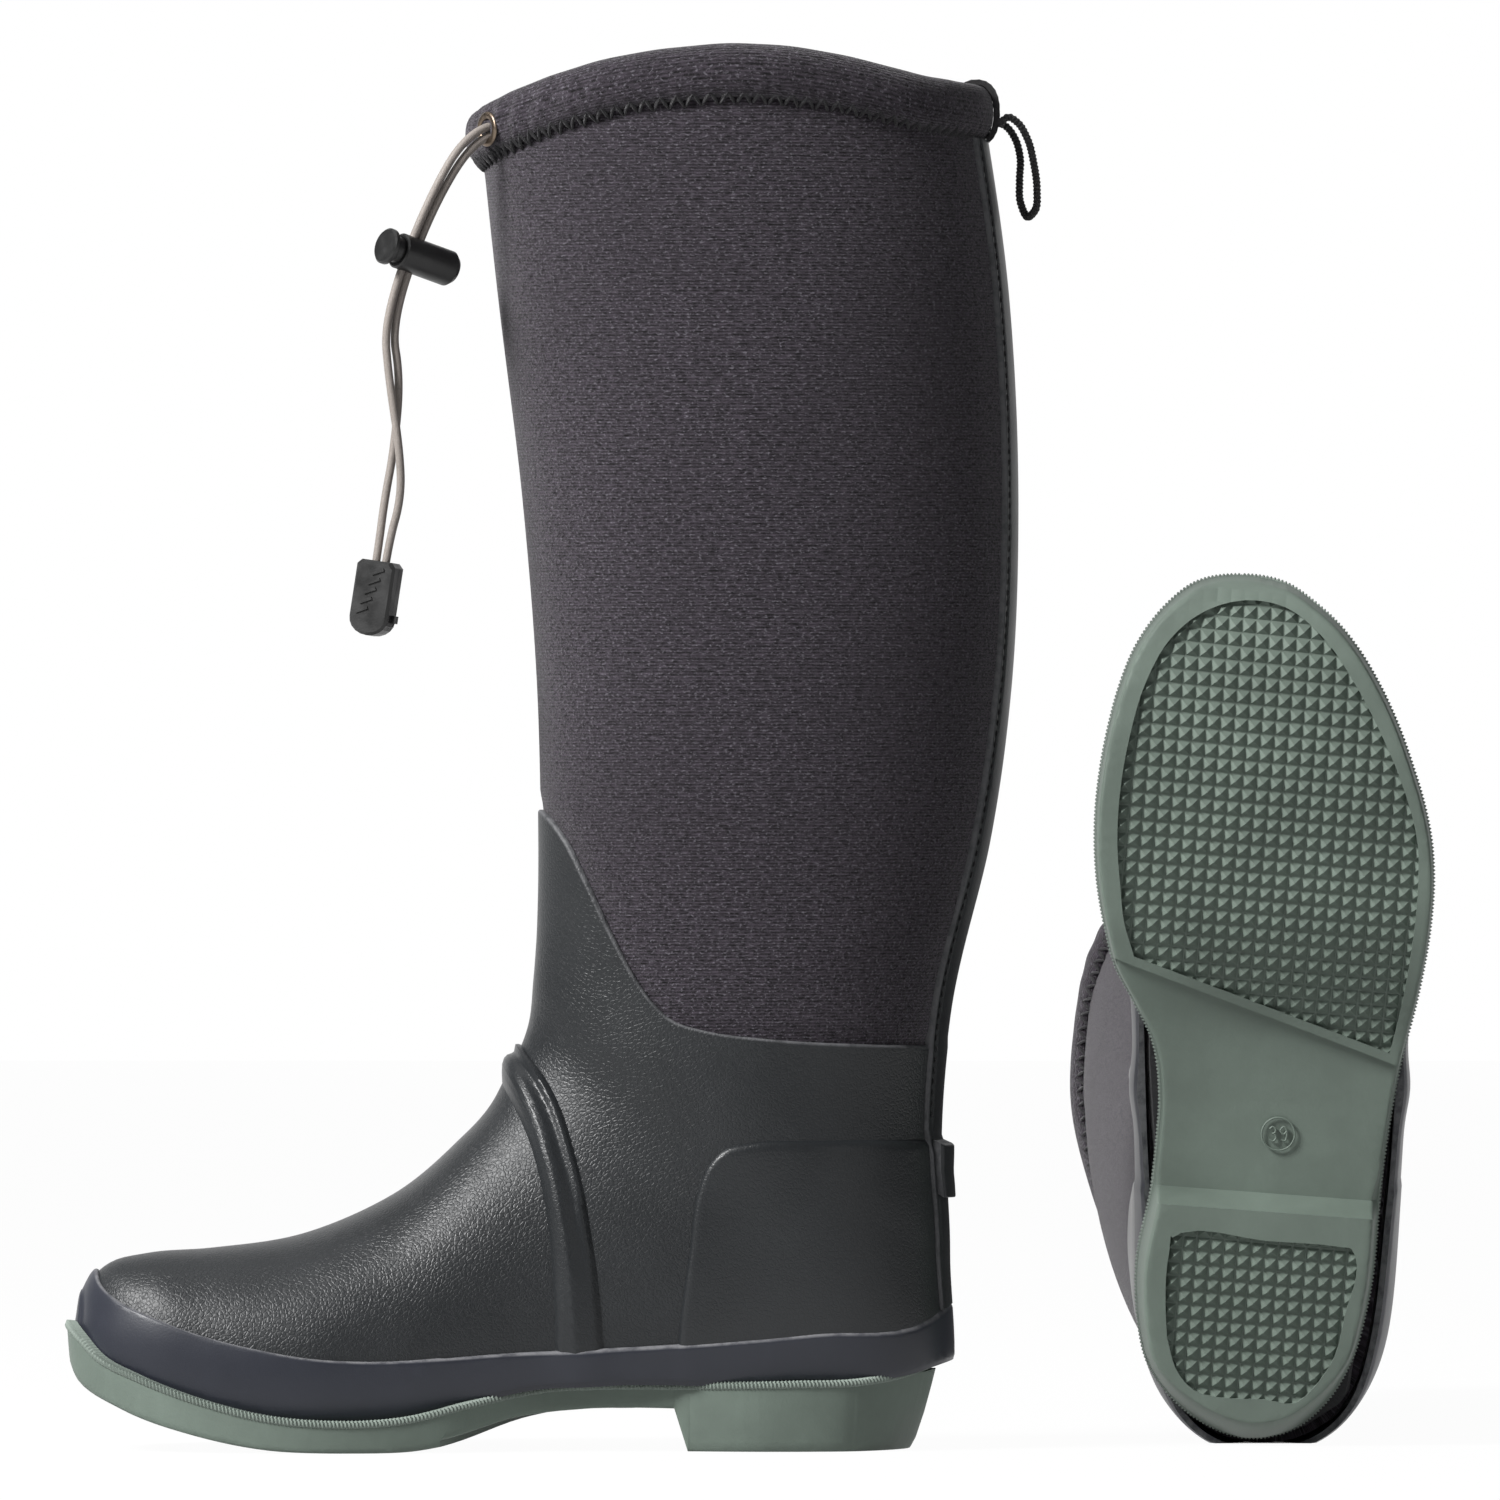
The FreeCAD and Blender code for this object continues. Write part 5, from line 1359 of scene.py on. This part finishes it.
class BOOTS_OT_pull_loop(bpy.types.Operator):
    """Braided pull loop and the tab that holds it"""
    bl_idname = "boots.pull_loop"
    bl_label = "Pull loop"

    def execute(self, context):
        for side in PLACES:
            made = Build()
            line = Through(loop_route(side)).dense(8)
            path = self.even([Vector(p) for p in line], sizes().braid_rib / MM / 4)
            swell = [1.0 + 0.13 * math.cos(HALF_TURN / 2 * i) for i in range(len(path))]
            profile = [(2.0 * rounded(math.cos(a), 0.7), 1.15 * rounded(math.sin(a), 0.8))
                       for a in (2 * HALF_TURN * (k + 0.5) / 14 for k in range(14))]
            made.sweep(path, profile, flat=(0, 1, 0), taper=swell)
            roll = [Vector((LOOP_ROOT_X, -4.5 + 0.6 * k, LOOP_ROOT_Z)) for k in range(16)]
            made.sweep(roll, circle(1.35, 16), taper=[0.8] + [1.0, 1.06] * 7 + [0.8])
            place_piece(f"{side}_pull_braid", made, side, finish("webbing"), [f"{side}_pull_loop"],
                        f"{side}_loop", own_frame=True, sharp=60)
        tab = Build()
        p, out, up = collar_axis(HALF_TURN)
        path, thick = [], []
        for k in range(41):
            a = math.radians(-62 + 294 * k / 40)
            path.append(p + out * rounded(math.cos(a), 2 / 2.4) * (COLLAR_HALF + 0.9)
                        + up * rounded(math.sin(a), 2 / 2.4) * (COLLAR_DEPTH / 2 + 0.6))
            thick.append(1.0 + 0.04 * math.cos(HALF_TURN * k))
        tab.sweep(path, [(4.5, -1.3), (4.5, 0.35), (3.9, 0.65), (0, 0.72), (-3.9, 0.65), (-4.5, 0.35), (-4.5, -1.3)],
                  flat=(0, 1, 0), taper=thick)
        both("loop_tab", tab, finish("webbing"), "pull_tab", 60)
        return {"FINISHED"}

    @staticmethod
    def even(path, step):
        """The same path with points a step apart."""
        made, left = [path[0]], step
        for a, b in zip(path, path[1:]):
            length = (b - a).length
            while left <= length:
                made.append(a.lerp(b, left / length))
                left += step
            left -= length
        return made


class BOOTS_OT_sole(bpy.types.Operator):
    """Outsole finish, toothed welt and size mark"""
    bl_idname = "boots.sole"
    bl_label = "Outsole"

    def execute(self, context):
        outline = SOLE_OUTLINE[-3:] + SOLE_OUTLINE + SOLE_OUTLINE[:3]
        curve = Through(outline)
        at = np.linspace(3, 3 + len(SOLE_OUTLINE), 1200)
        path = [Vector((float(x), float(y), 0)) for x, y in curve(at)][:-1]
        path = BOOTS_OT_pull_loop.even(path + [path[0]], sizes().welt_pitch / MM / 4)
        made, points, faces = Build(), [], []
        n = len(path)
        shape = [(-3.2, 0.1), (-0.9, 0.15), (-0.2, 0.05), (0.22, -0.35), (0.34, -1.1), (0.22, -1.75), (-0.1, -2.1),
                 (-0.8, -2.2)]
        for k, p in enumerate(path):
            way = (path[(k + 1) % n] - path[k - 1]).normalized()
            out = Vector((way.y, -way.x, 0))
            if k == 0:
                flip = -1 if out.x > 0 else 1
            out *= flip
            top = float(np.interp(p.x, SOLE_TOP_SMOOTH[:, 0], SOLE_TOP_SMOOTH[:, 1]))
            for j, (across, rise) in enumerate(shape):
                tooth = 0.34 * math.cos(HALF_TURN / 2 * (k + j * 0.5)) if 1 <= j <= 5 else 0.0
                points.append(p + out * (across + tooth) + Vector((0, 0, top + rise + (tooth if j < 3 else 0))))
        m = len(shape)
        for k in range(n):
            for j in range(m):
                a, b = k * m, ((k + 1) % n) * m
                q = (j + 1) % m
                faces.append((a + j, a + q, b + q, b + j) if flip < 0 else (b + j, b + q, a + q, a + j))
        made.add(points, faces)
        both("welt", made, finish("welt"), sharp=70)
        for side, hand in (("right", -1), ("left", 1)):
            mark = Build()
            centre = Vector((-102.8, 4.4, 12.75))

            def spot(u, v):
                return centre + Vector((-v, hand * u, 0))
            ring = [spot(5.2 * math.cos(a), 5.2 * math.sin(a)) for a in (2 * HALF_TURN * k / 60 for k in range(60))]
            mark.sweep(ring, circle(0.32, 6), closed=True)
            for place, digit in zip((-1.75, 1.75), str(sizes().shoe_size)):
                for stroke in DIGITS[digit]:
                    line = Through([(p[0] * 1.2 + place, p[1] * 2.3) for p in stroke]).dense(5)
                    mark.sweep([spot(float(u), float(v)) for u, v in line], circle(0.36, 6))
            place_piece(f"{side}_size_mark", mark, side, finish("sole"))
        both("tread_sole", self.underside(), finish("sole"), "outsole", 30)
        return {"FINISHED"}

    @staticmethod
    def underside():
        """The whole sole: both sunk treads, the bar behind the front one, the arch and the heel."""
        sole = Underside()

        def inside(x, y, z):
            return sole_edge(x, z, y) - draft(x)
        sole.cut(inside)
        sole.bevels(inside, (0.45, 1.1))
        for field, level in ((plan(tread_side), 0), (plan(tread_rear), 0), (plan(tread_rear), -BAR_WIDTH),
                             (plan(heel_tread), 0), (plan(breast), 0), (plan(breast), -BREAST_RUN)):
            sole.cut(field, level, True)
        x, y = sole.spots.T
        rim, back, tread = Underside.heights(x, y)
        rounding = 0.75 * (1 - round_over(inside(x, y, np.zeros(len(x))), 1.1))
        levels = (rim + rounding, back + rounding, tread)
        middle = np.array([sole.spots[face].mean(0) for face in sole.faces])
        flat = np.zeros(len(middle))
        mx, my = middle.T
        ahead = tread_rear(mx, flat, my)
        sunk = ((ahead > 0) & (tread_side(mx, flat, my) > 0)) | (heel_tread(mx, flat, my) > 0)
        # 0 is the front tread's rim and bar, 1 the arch and the heel, 2 a sunk tread
        zone = np.where(sunk, 2, np.where((ahead > -BAR_WIDTH) & (mx < -95), 0, 1)).tolist()
        made, index, points, faces = Build(), {}, [], []

        def point(i, level):
            if (i, level) not in index:
                index[i, level] = len(points)
                points.append((x[i], y[i], levels[level][i]))
            return index[i, level]
        sides = {}
        for face, level in zip(sole.faces, zone):
            faces.append([point(i, level) for i in face])
            for a, b in zip(face, face[1:] + face[:1]):
                sides[a, b] = level
        edge = {}
        for (a, b), level in sides.items():
            other = sides.get((b, a))
            if other is None:
                edge[a] = b
            elif other < level:
                faces.append([point(b, level), point(a, level), point(a, other), point(b, other)])
        lift = {}
        for a, b in edge.items():
            outward = Vector((y[a] - y[b], x[b] - x[a], 0)).normalized()
            lift.setdefault(a, []).append(outward)
            lift.setdefault(b, []).append(outward)
        top = np.interp(x, SOLE_TOP_SMOOTH[:, 0], SOLE_TOP_SMOOTH[:, 1]) - 0.3
        rows = {}
        for a, outs in lift.items():
            outward = sum(outs, Vector()).normalized()
            low = points[point(a, sides[a, edge[a]] if a in edge else 0)][2]
            rows[a] = []
            for share in (0.12, 0.45, 0.8, 1.0):
                rows[a].append(len(points))
                move = outward * (draft(x[a]) * share ** 0.75)
                points.append((x[a] + move.x, y[a] + move.y, low + (top[a] - low) * share))
        for a, b in edge.items():
            level = sides[a, b]
            last = (point(a, level), point(b, level))
            for ra, rb in zip(rows[a], rows[b]):
                faces.append([last[1], last[0], ra, rb])
                last = (ra, rb)
        caps = {}
        for face in sole.faces:
            lid = []
            for i in face[::-1]:
                if i not in caps:
                    caps[i] = rows[i][-1] if i in rows else len(points)
                    if i not in rows:
                        points.append((x[i], y[i], top[i]))
                lid.append(caps[i])
            faces.append(lid)
        made.add(points, faces)
        return made


# Strokes of plain digits in a box from -1 to 1
DIGITS = {
    "0": [[(0, 1), (-0.9, 0.4), (-0.9, -0.4), (0, -1), (0.9, -0.4), (0.9, 0.4), (0, 1)]],
    "1": [[(-0.5, 0.6), (0.2, 1), (0.2, 0), (0.2, -1)]],
    "2": [[(-0.9, 0.5), (0, 1), (0.9, 0.5), (0, -0.3), (-0.9, -1), (0.9, -1)]],
    "3": [[(-0.8, 0.7), (0, 1), (0.8, 0.6), (0.5, 0.15), (-0.1, 0.05)],
          [(-0.1, 0.05), (0.6, -0.1), (0.9, -0.5), (0.1, -1), (-0.85, -0.7)]],
    "4": [[(0.4, -1), (0.4, 0), (0.4, 1), (-0.9, -0.4), (0.9, -0.4)]],
    "5": [[(0.8, 1), (-0.6, 1), (-0.8, 0.1), (0.5, 0.2), (0.9, -0.4), (0, -1), (-0.9, -0.7)]],
    "6": [[(0.6, 0.9), (-0.5, 0.4), (-0.9, -0.5), (0, -1), (0.9, -0.5), (0, 0), (-0.8, -0.4)]],
    "7": [[(-0.9, 1), (0.9, 1), (0.1, 0), (-0.2, -1)]],
    "8": [[(0, 0.1), (-0.7, 0.5), (0, 1), (0.7, 0.5), (0, 0.1), (-0.9, -0.5), (0, -1), (0.9, -0.5), (0, 0.1)]],
    "9": [[(0.8, 0.4), (0, -0.05), (-0.85, 0.45), (0, 1), (0.8, 0.5), (0.8, -0.2), (0.3, -0.95), (-0.7, -0.8)]],
}


def wear_cad(node, finish_name):
    """Give a CAD node's own object a finish."""
    item = bpy.data.objects[node]
    for place in item.material_slots:
        place.material = finish(finish_name)


class BOOTS_OT_hardware(bpy.types.Operator):
    """Finishes of the locks, clips and hidden pieces"""
    bl_idname = "boots.hardware"
    bl_label = "Hardware"

    def execute(self, context):
        kept = {"lock_barrel": "plastic", "lock_plunger": "plastic", "lock_spring": "steel", "clip_front": "plastic",
                "clip_back": "plastic", "insole": "insole", "insole_board": "board", "shank": "steel"}
        for side in PLACES:
            for node, name in kept.items():
                wear_cad(f"{side}_{node}", name)
        return {"FINISHED"}


class BOOTS_PT_panel(bpy.types.Panel):
    """Sizes, colours and pieces of the boots"""
    bl_idname = "BOOTS_PT_panel"
    bl_label = "Riding wellingtons"
    bl_space_type = "VIEW_3D"
    bl_region_type = "UI"
    bl_category = "Boots"

    def draw(self, context):
        for group in (context.scene.boot_sizes, context.scene.boot_look):
            for name in group.bl_rna.properties.keys():
                if name not in ("rna_type", "name"):
                    self.layout.prop(group, name)
        for operator in OPERATORS:
            self.layout.operator(operator.bl_idname)


OPERATORS = (BOOTS_OT_stage, BOOTS_OT_cords, BOOTS_OT_knit_leg, BOOTS_OT_upper, BOOTS_OT_band, BOOTS_OT_foxing,
             BOOTS_OT_heel, BOOTS_OT_stitching, BOOTS_OT_collar, BOOTS_OT_eyelet, BOOTS_OT_pull_loop,
             BOOTS_OT_sole, BOOTS_OT_hardware)
CLASSES = (BootSizes, BootLook, *OPERATORS, BOOTS_PT_panel)


def register():
    for item in CLASSES:
        bpy.utils.register_class(item)
    bpy.types.Scene.boot_sizes = PointerProperty(type=BootSizes)
    bpy.types.Scene.boot_look = PointerProperty(type=BootLook)


def unregister():
    del bpy.types.Scene.boot_look
    del bpy.types.Scene.boot_sizes
    for item in reversed(CLASSES):
        bpy.utils.unregister_class(item)


def main():
    register()
    for operator in OPERATORS:
        group, name = operator.bl_idname.split(".")
        getattr(getattr(bpy.ops, group), name)()


if __name__ == "__main__":
    main()
